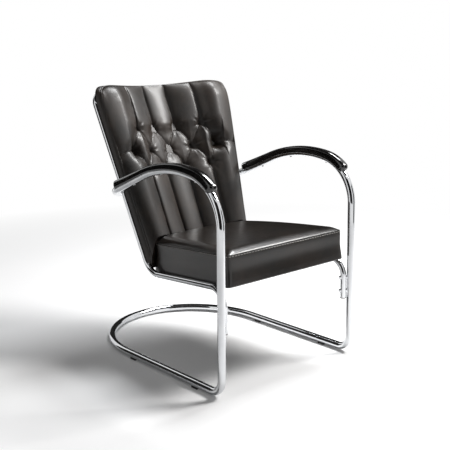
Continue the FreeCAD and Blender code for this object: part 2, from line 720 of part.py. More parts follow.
def rearWire(level):
    """Plan of the room behind the seat at its foot (0) or its head (1)."""
    half, wide = seatHalf(seatRearSide[0]), seatHalf(seatFrontY)
    z, side, middle, far = seatRearZ[level], seatRearSide[level], seatRearMiddle[level], 2 * seatRearY
    return Part.Wire([lineEdge(Vector(-wide, side, z), Vector(-half, side, z)),
                      Part.Arc(Vector(-half, side, z), Vector(0, middle, z), Vector(half, side, z)).toShape(),
                      lineEdge(Vector(half, side, z), Vector(wide, side, z)),
                      lineEdge(Vector(wide, side, z), Vector(wide, far, z)),
                      lineEdge(Vector(wide, far, z), Vector(-wide, far, z)),
                      lineEdge(Vector(-wide, far, z), Vector(-wide, side, z))])


seatCushion = seatBlank.cut(Part.makeLoft([rearWire(0), rearWire(1)], True, True))

# The padding of the back rests on the seat and against its rear edge
pressed = backPad.cut(seatCushion.translated(Vector(0, seatBackGap, seatBackGap)))
backPad = max(pressed.Solids, key=lambda solid: solid.Volume)

# Wood frame in a pocket of the cushion, webbing on it, dust cover below


def seatOutline(inset, frontInset, rearY, lift):
    """Four corners of a trapezoid inside the cushion, on its underside."""
    frontY = seatFrontY + frontInset
    corners = []
    for sign, y in ((-1, frontY), (1, frontY), (1, rearY), (-1, rearY)):
        corners.append(Vector(sign * (seatHalf(y) - inset), y, seatBase(y) + lift))
    return corners


def seatBlock(inset, frontInset, rearY, lift, height):
    return prism(seatOutline(inset, frontInset, rearY, lift), Vector(0, 0, height))


pocket = seatBlock(woodInset - pocketFit, woodInset - pocketFit, woodRearY + pocketFit, -1.0,
                   woodHeight + 3 * webThick + 2.0)
seatCushion = seatCushion.cut(pocket)
woodFrame = seatBlock(woodInset, woodInset, woodRearY, dustThick + layerGap, woodHeight)
woodFrame = woodFrame.cut(seatBlock(woodInset + woodWidth, woodInset + woodWidth, woodRearY - woodWidth,
                                    -1.0, woodHeight + 4))
dustCover = seatBlock(woodInset + 2, woodInset + 2, woodRearY - 2, 0.0, dustThick)


def seatSheet(x0, x1, y0, y1, lift, thick):
    """Flat strip parallel to the underside of the seat, between two depths."""
    corners = [(x0, y0), (x1, y0), (x1, y1), (x0, y1)]
    return prism([Vector(x, y, seatBase(y) + lift) for x, y in corners], Vector(0, 0, thick))


webs = []
webLift = dustThick + woodHeight + 2 * layerGap
for k in range(webCount):
    share = (k + 0.5) / webCount
    y = seatFrontY + woodInset + (woodRearY - seatFrontY - woodInset) * share
    half = seatHalf(y) - woodInset - webEdge
    webs.append(seatSheet(-half, half, y - webWidth / 2, y + webWidth / 2, webLift, webThick))
    x = (share - 0.5) * 2 * (seatHalf(woodRearY) - woodInset - webWidth / 2)
    webs.append(seatSheet(x - webWidth / 2, x + webWidth / 2, seatFrontY + woodInset + webEdge,
                          woodRearY - webEdge, webLift + webThick + layerGap, webThick))

# Tabs on the rails that carry the wood frame, with screws from below
seatTabs, seatScrews = [], []
for y in seatTabYs:
    rail = railPoint(y)
    inner = rail.x + thinR + tabReach
    railRod = cylinderFrom(railPoint(y - tabWidth), railPoint(y + tabWidth), thinR + weldGap)
    front, rear = y - tabWidth / 2, y + tabWidth / 2
    tab = seatSheet(rail.x + thinR / 2, inner, front, rear, -tabDrop - tabThick, tabThick)
    tab = max(tab.cut(railRod).Solids, key=lambda solid: solid.Volume)
    spot = Vector(inner - tabReach * 0.3, y, seatBase(y) - tabDrop - tabThick)
    tab = tab.cut(Part.makeCylinder(seatScrewDia / 2 + holeFit, 3 * tabThick, spot - zDir * tabThick))
    seatTabs += [tab, mirrored(tab)]
    seatAt = spot - zDir * (railSlope * seatScrewHead / 2 + 0.1)
    screw = Part.makeCylinder(seatScrewDia / 2, tabThick + seatScrewBite, seatAt)
    screw = screw.fuse(Part.makeCylinder(seatScrewHead / 2, 2.4, seatAt - zDir * 2.4)).removeSplitter()
    seatScrews += [screw, mirrored(screw)]
    pilot = Part.makeCylinder(seatScrewDia / 2 + 0.02, tabThick + seatScrewBite, spot)
    for cutter in (pilot, mirrored(pilot)):
        woodFrame = woodFrame.cut(cutter)
        dustCover = dustCover.cut(cutter)

# Tubes with their holes, and what sits inside them
mainFrame = tube(mainWire, mainDia, mainWall)
for hole in mainHoles + padHoles + glideHoles + barHoles:
    mainFrame = mainFrame.cut(hole)
thinFrame = tube(thinWire, thinDia, thinWall)
for hole in thinHoles:
    thinFrame = thinFrame.cut(hole)
sleeveR = mainR - mainWall - slideFit
sleeveStart = Vector(-sleeveLength / 2, barPoint.y, barPoint.z)
sleeve = Part.makeCylinder(sleeveR, sleeveLength, sleeveStart, xDir)
sleeve = sleeve.cut(Part.makeCylinder(sleeveR - sleeveWall, sleeveLength, sleeveStart, xDir))
plugBody = Part.makeCylinder(thinR - thinWall - slideFit, plugDepth, Vector(-thinX, thinY, thinEndZ))
plugCap = Part.makeCylinder(thinR, plugFlange, Vector(-thinX, thinY, thinEndZ - plugFlange))
plug = plugBody.fuse(plugCap).removeSplitter()

save("main_frame", mainFrame)
save("joint_sleeve", sleeve)
save("seat_frame", thinFrame)
save("seat_frame_plugs", [plug, mirrored(plug)])
save("leg_bolts", legBolts)
save("leg_thread_inserts", legInserts)
save("leg_saddles", legSaddles)
save("arm_pad_left", padSolid)
save("arm_pad_right", mirrored(padSolid))
save("arm_pad_screws", padScrews)
save("floor_glides", glides)
save("seat_cushion", seatCushion)
save("seat_wood_frame", woodFrame)
save("seat_webbing", webs)
save("seat_dust_cover", dustCover)
save("seat_tabs", seatTabs)
save("seat_screws", seatScrews)
save("back_shell", backShell)
save("back_rear_cover", rearCover)
save("back_cushion", backPad)
save("back_buttons", buttons)
save("back_bolts", backBolts)
save("back_spacers", backSpacers)
save("back_dome_nuts", backNuts)
save("back_tabs", tabsBack)
save("back_tab_screws", tabScrews)
print("gap between thin tube and leg %.2f, bar along the back %.1f, forward %.1f" % (tubeGap, barS, barO))
print("bow behind the uprights %.1f, rear radius of the floor loop %.1f" % (bowMiddle, rearRadius))
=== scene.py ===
import math
import bpy
import bmesh
import numpy as np
from mathutils import Matrix, Vector


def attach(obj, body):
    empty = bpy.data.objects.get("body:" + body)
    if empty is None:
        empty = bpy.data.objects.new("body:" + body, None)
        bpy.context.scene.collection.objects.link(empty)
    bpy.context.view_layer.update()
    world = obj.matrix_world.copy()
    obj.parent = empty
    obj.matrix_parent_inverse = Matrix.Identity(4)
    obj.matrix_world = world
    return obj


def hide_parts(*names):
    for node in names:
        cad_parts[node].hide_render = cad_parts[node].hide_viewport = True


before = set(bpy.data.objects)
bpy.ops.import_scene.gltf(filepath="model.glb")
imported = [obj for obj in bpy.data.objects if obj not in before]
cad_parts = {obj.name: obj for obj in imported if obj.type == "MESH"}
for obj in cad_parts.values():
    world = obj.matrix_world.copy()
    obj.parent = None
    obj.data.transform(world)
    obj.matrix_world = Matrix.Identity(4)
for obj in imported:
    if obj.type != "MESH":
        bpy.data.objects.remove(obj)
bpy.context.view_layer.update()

scene = bpy.context.scene
print("frame loaded:", len(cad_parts), "nodes")

# The chair's own measures, in metres, with y counted from the plane of the front legs.
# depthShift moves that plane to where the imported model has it.
chair = {
    "depthShift": -0.393434,
    "railRear": (0.220, 0.440, 0.2875),   # corner where the rails turn up into the back
    "recline": math.radians(19.05),
    "uprightLength": 0.624,
    "uprightTop": 0.292,
}
leanSin, leanCos = math.sin(chair["recline"]), math.cos(chair["recline"])
flare = (chair["uprightTop"] - chair["railRear"][0]) / chair["uprightLength"]
meshing = {"weld": 2e-5, "threadWeld": 1e-6, "sliver": 1e-7}


# Small helpers for surfaces

def unit(v):
    # v / |v|
    v = np.asarray(v, float)
    return v / np.linalg.norm(v)


def smoothStep(t):
    # 3 t^2 - 2 t^3, with t held between 0 and 1
    t = np.clip(t, 0.0, 1.0)
    return t * t * (3.0 - 2.0 * t)


def gridQuads(rows, columns, wrapRows=False, wrapColumns=False, start=0):
    # the quad at (i, j) joins points (i, j), (i, j+1), (i+1, j+1) and (i+1, j)
    i = np.arange(rows if wrapRows else rows - 1)[:, None]
    j = np.arange(columns if wrapColumns else columns - 1)[None, :]
    a = i * columns + j
    b = i * columns + (j + 1) % columns
    c = ((i + 1) % rows) * columns + (j + 1) % columns
    d = ((i + 1) % rows) * columns + j
    return np.stack([a, b, c, d], axis=-1).reshape(-1, 4) + start


def joinGrids(grids):
    # one list of points and quads from several grids of points; wrap says which way each one closes
    points, quads, start = [], [], 0
    for grid, wrapRows, wrapColumns in grids:
        rows, columns = grid.shape[:2]
        points.append(grid.reshape(-1, 3))
        quads.append(gridQuads(rows, columns, wrapRows, wrapColumns, start))
        start += rows * columns
    return np.concatenate(points), np.concatenate(quads)


def makePiece(name, points, quads, material, slotName, weld=meshing["weld"]):
    # a mesh from arrays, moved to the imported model's depth, with doubles merged and faces turned outwards
    points = np.array(points, float) + np.array([0.0, chair["depthShift"], 0.0])
    mesh = bpy.data.meshes.new(name)
    mesh.vertices.add(len(points))
    mesh.vertices.foreach_set("co", points.astype(np.float32).ravel())
    mesh.loops.add(quads.size)
    mesh.loops.foreach_set("vertex_index", quads.astype(np.int32).ravel())
    mesh.polygons.add(len(quads))
    mesh.polygons.foreach_set("loop_start", np.arange(0, quads.size, 4, dtype=np.int32))
    mesh.update(calc_edges=True)
    mesh.validate()
    work = bmesh.new()
    work.from_mesh(mesh)
    bmesh.ops.remove_doubles(work, verts=work.verts, dist=weld)
    bmesh.ops.dissolve_degenerate(work, edges=work.edges, dist=meshing["sliver"])
    bmesh.ops.recalc_face_normals(work, faces=work.faces)
    work.to_mesh(mesh)
    work.free()
    mesh.polygons.foreach_set("use_smooth", np.ones(len(mesh.polygons), dtype=bool))
    mesh.materials.append(material)
    piece = bpy.data.objects.new(name, mesh)
    scene.collection.objects.link(piece)
    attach(piece, "root")
    return piece


def backPoints(x, s, o):
    # x across, s up along the back from the rear corner of the rails, o forward of the uprights
    x, s, o = np.broadcast_arrays(x, s, o)
    y = chair["railRear"][1] + s * leanSin - o * leanCos
    z = chair["railRear"][2] + s * leanCos + o * leanSin
    return np.stack([x, y, z], axis=-1)


# Shader maths

class Flow:
    # one output socket of a material; arithmetic on it adds Math nodes
    def __init__(self, board, socket):
        self.board, self.socket = board, socket

    def maths(self, operation, *values):
        return self.board.node("ShaderNodeMath", {"operation": operation}, *values)

    def __add__(self, other):
        return self.maths("ADD", self, other)

    def __radd__(self, other):
        return self.maths("ADD", other, self)

    def __sub__(self, other):
        return self.maths("SUBTRACT", self, other)

    def __rsub__(self, other):
        return self.maths("SUBTRACT", other, self)

    def __mul__(self, other):
        return self.maths("MULTIPLY", self, other)

    def __rmul__(self, other):
        return self.maths("MULTIPLY", other, self)

    def __abs__(self):
        return self.maths("ABSOLUTE", self)

    def least(self, other):
        return self.maths("MINIMUM", self, other)

    def most(self, other):
        return self.maths("MAXIMUM", self, other)

    def sine(self):
        return self.maths("SINE", self)

    def within(self, low, high):
        # (v - low) / (high - low), held between 0 and 1
        return self.board.node("ShaderNodeMapRange", {"clamp": True}, self, low, high, 0.0, 1.0)


class Board:
    # the node tree of one material
    def __init__(self, name):
        self.material = bpy.data.materials.new(name)
        self.material.use_nodes = True
        self.tree = self.material.node_tree
        self.tree.nodes.clear()

    def node(self, kind, settings=None, *values, output=0, **named):
        # a node with its settings and the values or links of its sockets, by order, by name or as at_number
        made = self.tree.nodes.new(kind)
        for key, value in (settings or {}).items():
            setattr(made, key, value)
        for place, value in list(enumerate(values)) + list(named.items()):
            if value is None:
                continue
            place = place if isinstance(place, int) else place.replace("_", " ")
            if isinstance(place, str) and place.startswith("at "):
                place = int(place[3:])
            socket = made.inputs[place]
            if isinstance(value, Flow):
                self.tree.links.new(value.socket, socket)
            elif isinstance(value, (tuple, list)) and len(value) == 3 and socket.type == "RGBA":
                socket.default_value = (*value, 1.0)
            else:
                socket.default_value = value
        return Flow(self, made.outputs[output]) if made.outputs else None

    def place(self, scale=(1.0, 1.0, 1.0)):
        # object coordinates, in metres, stretched
        spot = self.node("ShaderNodeTexCoord", output="Object")
        return self.node("ShaderNodeMapping", None, Vector=spot, Scale=scale)

    def noise(self, scale, detail=3.0, rough=0.5, place=None):
        return self.node("ShaderNodeTexNoise", None, Vector=place or self.place(), Scale=scale,
                         Detail=detail, Roughness=rough)

    def cells(self, scale, feature="F1"):
        return self.node("ShaderNodeTexVoronoi", {"feature": feature}, Vector=self.place(), Scale=scale)

    def colours(self, factor, first, second):
        # first mixed with second by the factor; the sockets of this kind of mix are 0, 6 and 7, out at 2
        return self.node("ShaderNodeMix", {"data_type": "RGBA"}, at_0=factor, at_6=first, at_7=second,
                         output=2)

    def bump(self, height, distance, strength=1.0, normal=None):
        return self.node("ShaderNodeBump", None, Strength=strength, Distance=distance, Height=height,
                         Normal=normal)

    def finish(self, **sockets):
        shader = self.node("ShaderNodeBsdfPrincipled", None, **sockets)
        self.node("ShaderNodeOutputMaterial", None, shader)
        return self.material


# Finishes

def makeChrome():
    # Polished chrome. Roughness = rough + wipe * cloudy noise + scratch * the peaks of hair lines, which are
    # noise stretched 25 times along the tube; the colour drifts between two greys.
    look = {"colour": (0.74, 0.75, 0.76), "haze": (0.60, 0.61, 0.63), "rough": 0.05, "wipe": 0.07,
            "scratch": 0.08, "peak": 0.62, "cloud": 9.0, "hair": 700.0, "stretch": (1.0, 0.04, 1.0)}
    board = Board("chromePlate")
    cloud = board.noise(look["cloud"], 4.0, 0.6)
    hair = board.noise(look["hair"], 2.0, 0.7, board.place(look["stretch"]))
    scratches = (hair - look["peak"]).most(0.0) * 2.0
    base = board.colours(cloud.within(0.35, 0.75), look["colour"], look["haze"])
    rough = look["rough"] + look["wipe"] * cloud.within(0.45, 0.8) + look["scratch"] * scratches
    return board.finish(Base_Color=base, Metallic=1.0, Roughness=rough,
                        Normal=board.bump(hair, 0.00001, 0.15))


def makeSteel():
    # Zinc plated fasteners. Roughness = rough + spread * noise, fine turning lines as bump.
    look = {"bright": (0.62, 0.62, 0.63), "dull": (0.45, 0.45, 0.46), "rough": 0.28, "spread": 0.2,
            "cloud": 60.0, "lines": 1500.0, "stretch": (1.0, 1.0, 0.1)}
    board = Board("zincSteel")
    cloud = board.noise(look["cloud"], 3.0)
    lines = board.noise(look["lines"], 1.0, 0.5, board.place(look["stretch"]))
    base = board.colours(cloud, look["bright"], look["dull"])
    return board.finish(Base_Color=base, Metallic=1.0, Roughness=look["rough"] + look["spread"] * cloud,
                        Normal=board.bump(lines, 0.00002, 0.4))


def makeLeather(name, depth, rough, coat):
    # Pigmented leather. Height = rounded grain cells of about 1 mm + pore noise, over soft creases of
    # ridged noise; the colour drifts from near black to warm brown with broad noise and is paler where
    # it is rubbed; roughness = rough + spread * middle noise + pits * cells.
    # depth scales the dark and warm colours; it paints light and shade into the leather: the seat's copy is
    # painted darker and the back's copy lighter, for how the light falls on each
    look = {"dark": (0.0050 * depth, 0.0040 * depth, 0.0032 * depth),
            "warm": (0.0230 * depth, 0.0145 * depth, 0.0095 * depth), "rubbed": (0.036, 0.025, 0.018),
            "spread": 0.14, "pits": 0.05, "broad": 7.0, "middle": 55.0, "grain": 820.0, "pores": 2400.0,
            "crease": 38.0, "grainDepth": 0.00012, "creaseDepth": 0.0006, "coatRough": 0.18}
    board = Board(name)
    broad = board.noise(look["broad"], 3.0, 0.55)
    middle = board.noise(look["middle"], 4.0, 0.6)
    cells = board.cells(look["grain"], "SMOOTH_F1")
    pores = board.noise(look["pores"], 2.0, 0.6)
    crease = board.node("ShaderNodeTexNoise", {"noise_type": "RIDGED_MULTIFRACTAL"}, Vector=board.place(),
                        Scale=look["crease"], Detail=4.0, Roughness=0.55)
    grain = (1.0 - cells) * 0.8 + pores * 0.25
    tone = broad.within(0.35, 0.7) * 0.7 + middle.within(0.4, 0.7) * 0.3
    base = board.colours(tone, look["dark"], look["warm"])
    base = board.colours(middle.within(0.66, 0.85) * 0.4, base, look["rubbed"])
    soft = board.bump(crease, look["creaseDepth"], 0.25)
    return board.finish(Base_Color=base, Roughness=rough + look["spread"] * middle + look["pits"] * cells,
                        Specular_IOR_Level=0.45, Coat_Weight=coat, Coat_Roughness=look["coatRough"],
                        Normal=board.bump(grain, look["grainDepth"], 0.5, soft))


def makeLacquer():
    # Black lacquer on bent wood. Orange peel of 3 mm as faint bump, wear and dust specks raise the
    # roughness, a clear coat on top.
    look = {"colour": (0.005, 0.0045, 0.0045), "worn": (0.012, 0.009, 0.007), "rough": 0.14,
            "wearRough": 0.12, "dustRough": 0.04, "peel": 300.0, "dust": 900.0, "wear": 14.0}
    board = Board("blackLacquer")
    peel = board.noise(look["peel"], 2.0, 0.4)
    dust = board.cells(look["dust"])
    wear = board.noise(look["wear"], 4.0, 0.6).within(0.62, 0.8)
    base = board.colours(wear, look["colour"], look["worn"])
    rough = look["rough"] + look["wearRough"] * wear + look["dustRough"] * dust
    return board.finish(Base_Color=base, Roughness=rough, Coat_Weight=0.7, Coat_Roughness=0.05,
                        Normal=board.bump(peel, 0.00002, 0.2))


def makePlastic():
    # Moulded plastic with a spark-eroded grain: bump = noise at 0.5 mm, roughness = rough + spread * scuffs.
    look = {"dark": (0.030, 0.026, 0.024), "pale": (0.075, 0.066, 0.058), "rough": 0.5, "spread": 0.15,
            "grain": 1800.0, "scuff": 40.0}
    board = Board("mouldedPlastic")
    grain = board.noise(look["grain"], 2.0, 0.7)
    scuff = board.noise(look["scuff"], 4.0, 0.6)
    base = board.colours(scuff.within(0.5, 0.8), look["dark"], look["pale"])
    return board.finish(Base_Color=base, Roughness=look["rough"] + look["spread"] * scuff,
                        Normal=board.bump(grain, 0.00005, 0.5))


def makeWood():
    # Sanded beech: long grain = noise stretched 20 times along x, rings = sine of that, flecks on top.
    look = {"dark": (0.50, 0.33, 0.19), "pale": (0.66, 0.48, 0.30), "rough": 0.5, "spread": 0.15,
            "grain": 60.0, "rings": 40.0, "flecks": 500.0}
    board = Board("sandedBeech")
    grain = board.noise(look["grain"], 5.0, 0.6, board.place((0.05, 1.0, 1.0)))
    rings = (grain * look["rings"]).sine() * 0.5 + 0.5
    flecks = board.noise(look["flecks"], 2.0, 0.6, board.place((0.15, 1.0, 1.0)))
    base = board.colours(rings * 0.6 + flecks * 0.4, look["dark"], look["pale"])
    return board.finish(Base_Color=base, Roughness=look["rough"] + look["spread"] * flecks,
                        Normal=board.bump(grain, 0.0002, 0.4))


def makeWeave(name, dark, light, size):
    # Woven cloth: height = 0.8 |sin x| |sin y| over threads of the given size + 0.2 fuzz, which is noise; the
    # colour follows the height, which paints shade into the low parts between the threads.
    board = Board(name)
    alongX = board.node("ShaderNodeSeparateXYZ", None, board.place())
    alongY = board.node("ShaderNodeSeparateXYZ", None, board.place(), output=1)
    turns = math.pi / size
    warp = abs((alongX * turns).sine())
    weft = abs((alongY * turns).sine())
    fuzz = board.noise(1500.0, 3.0, 0.7)
    height = warp * weft * 0.8 + fuzz * 0.2
    # colour by height: painted shade, darker between the threads
    return board.finish(Base_Color=board.colours(height, dark, light), Roughness=0.85,
                        Normal=board.bump(height, 0.0004, 0.6))


def makeThread():
    # Waxed seam thread: colour, roughness and bump follow fine noise.
    look = {"dark": (0.20, 0.19, 0.175), "pale": (0.42, 0.40, 0.37), "rough": 0.45, "spread": 0.1,
            "fibre": 1600.0}
    board = Board("seamThread")
    fibre = board.noise(look["fibre"], 2.0, 0.6)
    base = board.colours(fibre, look["dark"], look["pale"])
    return board.finish(Base_Color=base, Roughness=look["rough"] + look["spread"] * fibre,
                        Normal=board.bump(fibre, 0.0001, 0.5))


finishes = {
    "chrome": makeChrome(),
    "steel": makeSteel(),
    # the same leather twice: the back's copy with depth 1.1 is painted lighter and the seat's copy with depth
    # 0.75 is painted darker, as painted light and shade for how the light falls on the back and the seat
    "leather": makeLeather("backLeatherLitCopy", 1.1, 0.36, 0.15),
    "seatLeatherShadedCopy": makeLeather("seatLeatherShadedCopy", 0.75, 0.24, 0.30),
    "lacquer": makeLacquer(),
    "plastic": makePlastic(),
    "wood": makeWood(),
    "webbing": makeWeave("webbingWeave", (0.16, 0.14, 0.12), (0.38, 0.35, 0.30), 0.0022),
    "dustCloth": makeWeave("dustCloth", (0.010, 0.010, 0.010), (0.030, 0.029, 0.028), 0.0012),
    "thread": makeThread(),
}
nodeFinish = {
    "main_frame": "chrome", "joint_sleeve": "steel", "seat_frame": "chrome", "seat_frame_plugs": "plastic",
    "leg_bolts": "chrome", "leg_thread_inserts": "steel", "leg_saddles": "chrome",
    "arm_pad_left": "lacquer", "arm_pad_right": "lacquer", "arm_pad_screws": "steel",
    "floor_glides": "plastic", "seat_cushion": "leather", "seat_wood_frame": "wood",
    "seat_webbing": "webbing", "seat_dust_cover": "dustCloth", "seat_tabs": "chrome",
    "seat_screws": "steel", "back_shell": "wood", "back_rear_cover": "leather", "back_cushion": "leather",
    "back_buttons": "leather", "back_bolts": "steel", "back_spacers": "plastic", "back_dome_nuts": "chrome",
    "back_tabs": "chrome", "back_tab_screws": "steel",
}
for nodeName, finishName in nodeFinish.items():
    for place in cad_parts[nodeName].material_slots:
        place.material = finishes[finishName]
print("finishes made")


# Tubes

bends = {"step": 0.0035, "turn": 3.0, "least": 4}   # longest chord in m, widest in degrees, fewest points


def arcPath(centre, first, second, radius, start, end):
    # centre + radius (first cos a + second sin a), a from start to end in degrees
    turn = abs(math.radians(end - start))
    count = max(bends["least"], int(turn * radius / bends["step"]) + 2,
                int(turn / math.radians(bends["turn"])) + 2)
    a = np.radians(np.linspace(start, end, count))[:, None]
    return np.asarray(centre) + radius * (np.asarray(first) * np.cos(a) + np.asarray(second) * np.sin(a))


def bentPath(corners, radii):
    # straight runs between corners, each inner corner replaced by an arc of its own radius
    corners = [np.asarray(c, float) for c in corners]
    parts = [corners[0][None]]
    for before, corner, after, radius in zip(corners, corners[1:], corners[2:], radii):
        a, b = unit(before - corner), unit(after - corner)
        half = math.acos(float(np.clip(a @ b, -1, 1))) / 2
        centre = corner + unit(a + b) * (radius / math.sin(half))
        first = unit(corner + a * (radius / math.tan(half)) - centre)
        last = unit(corner + b * (radius / math.tan(half)) - centre)
        second = unit(last - first * (first @ last))
        swept = math.degrees(math.acos(float(first @ last)))
        parts.append(arcPath(centre, first, second, radius, 0.0, swept))
    parts.append(corners[-1][None])
    return np.concatenate(parts)


def pathFrames(path):
    # tangents, and a normal carried along the path with the least turning
    path = path[np.concatenate([[True], np.linalg.norm(np.diff(path, axis=0), axis=1) > 1e-6])]
    ahead = np.diff(path, axis=0)
    ahead /= np.linalg.norm(ahead, axis=1)[:, None]
    tangents = np.concatenate([ahead[:1], ahead[1:] + ahead[:-1], ahead[-1:]])
    tangents /= np.linalg.norm(tangents, axis=1)[:, None]
    start = np.cross(tangents[0], (0.0, 0.0, 1.0) if abs(tangents[0][2]) < 0.9 else (0.0, 1.0, 0.0))
    normals = [unit(start)]
    for t in tangents[1:]:
        n = normals[-1] - t * (normals[-1] @ t)
        normals.append(unit(n))
    normals = np.array(normals)
    return path, tangents, normals, np.cross(tangents, normals)


def tubeGrid(path, radius, sides=44, bevel=0.0008):
    # P(t, a) = path(t) + r(t) (n cos a + b sin a); both ends close with a small bevel and a flat disc
    path, tangents, normals, others = pathFrames(path)
    a = np.linspace(0, 2 * math.pi, sides, endpoint=False)[None, :, None]
    rings = path[:, None] + radius * (normals[:, None] * np.cos(a) + others[:, None] * np.sin(a))
    closed = [rings]
    for end, sign in ((0, -1.0), (-1, 1.0)):
        around = normals[end] * np.cos(a[0]) + others[end] * np.sin(a[0])
        edge = 0.3 * bevel
        extra = []
        for inset, share in ((edge, 1.0 - edge / radius), (0.0, 1.0 - bevel / radius), (0.0, 0.0)):
            extra.append(path[end] - tangents[end] * sign * inset + radius * share * around)
        ends = np.array(extra)
        rings[end] = rings[end] - tangents[end] * sign * bevel
        closed = [ends[::-1]] + closed if end == 0 else closed + [ends]
    return np.concatenate(closed)


mainTube = {
    "radius": 0.0125, "halfWidth": 0.2875, "axis": 0.015, "foot": 0.047, "legTop": 0.5175, "front": 0.146,
    "frontTurn": 79.0, "crown": 0.437, "fall": 23.3, "straight": 0.148, "hook": 0.076, "runner": 0.480,
    "loopSide": 0.320, "loopTurn": 46.0, "joint": 0.0002,
}


def mainSide():
    # left half of the tube: bar, hook, straight, crown, front bend, leg, foot, runner, loop
    m = mainTube
    across, back, up = np.eye(3)
    heading = math.radians(90.0 - m["frontTurn"])
    frontCentre = np.array([-m["halfWidth"], m["front"], m["legTop"]])
    turn = math.radians(m["frontTurn"])
    crownStart = frontCentre + m["front"] * (-back * math.cos(turn) + up * math.sin(turn))
    crownCentre = crownStart - m["crown"] * (-back * math.sin(heading) + up * math.cos(heading))
    fall = math.radians(m["fall"])
    fallDir = back * math.cos(fall) - up * math.sin(fall)
    crownEnd = crownCentre + m["crown"] * (up * math.cos(fall) + back * math.sin(fall))
    armEnd = crownEnd + fallDir * m["straight"]
    hookCentre = armEnd + across * m["hook"]
    bar = hookCentre + fallDir * m["hook"]
    footCentre = np.array([-m["halfWidth"], m["foot"], m["axis"] + m["foot"]])
    sideCentre = np.array([-m["halfWidth"] + m["loopSide"], m["runner"], m["axis"]])
    loop = math.radians(m["loopTurn"])
    sideEnd = sideCentre + m["loopSide"] * (-across * math.cos(loop) + back * math.sin(loop))
    rearRadius = -sideEnd[0] / math.cos(loop)
    rearCentre = sideEnd - rearRadius * (-across * math.cos(loop) + back * math.sin(loop))
    return {
        "bar": np.array([[-m["joint"], bar[1], bar[2]]]),
        "hook": arcPath(hookCentre, fallDir, -across, m["hook"], 0, 90),
        "crown": arcPath(crownCentre, up, back, m["crown"], m["fall"], -math.degrees(heading)),
        "front": arcPath(frontCentre, -back, up, m["front"], m["frontTurn"], 0),
        "foot": arcPath(footCentre, -back, -up, m["foot"], 0, 90),
        "side": arcPath(sideCentre, -across, back, m["loopSide"], 0, m["loopTurn"]),
        "rear": arcPath(rearCentre, -across, back, rearRadius, m["loopTurn"], 90),
    }, crownEnd, fallDir


sideParts, crownEnd, fallDir = mainSide()
leftPath = np.concatenate(list(sideParts.values()))
wholePath = np.concatenate([leftPath, leftPath[::-1][1:] * (-1, 1, 1)])
tubePiece = makePiece("mainTube", *joinGrids([(tubeGrid(wholePath, mainTube["radius"]), False, True)]),
                      finishes["chrome"], "chrome")
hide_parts("main_frame")

thinTube = {
    "radius": 0.010, "front": (0.2665, 0.012), "lowEnd": 0.198, "cornerZ": 0.3355,
    "radii": (0.056, 0.060, 0.034), "bowDepth": 0.115, "bowStraight": 0.020, "sides": 36,
}


def thinPath():
    # leg piece, rail, upright and bow on the left, mirrored for the right
    t = thinTube
    x, y = t["front"]
    rail = chair["railRear"]
    top = backPoints(-chair["uprightTop"], chair["uprightLength"], 0.0)
    left = [np.array([-x, y, t["lowEnd"]]), np.array([-x, y, t["cornerZ"]]),
            np.array([-rail[0], rail[1], rail[2]]), top]
    middle = backPoints(0.0, chair["uprightLength"], -t["bowDepth"])
    turn = math.atan2(t["bowDepth"], chair["uprightTop"])
    run = math.hypot(t["bowDepth"], chair["uprightTop"]) - t["radii"][2] - t["bowStraight"]
    radii = list(t["radii"]) + [run / math.tan(turn)] + list(t["radii"])[::-1]
    return bentPath(left + [middle] + [p * (-1, 1, 1) for p in left[::-1]], radii)


thinGrid = tubeGrid(thinPath(), thinTube["radius"], thinTube["sides"])
thinPiece = makePiece("seatTube", *joinGrids([(thinGrid, False, True)]), finishes["chrome"], "chrome")
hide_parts("seat_frame")
print("tubes swept")


# Arm pads

armPad = {
    "width": 0.0352, "mid": 0.0225, "end": 0.0300, "startTurn": 43.0, "tail": 0.014, "nose": 0.015,
    "low": 0.0004, "shoulder": 0.62, "swell": 0.04, "pivot": 0.42, "noseRows": 14, "rows": 130, "sides": 56,
    "ahead": 0.002,
}


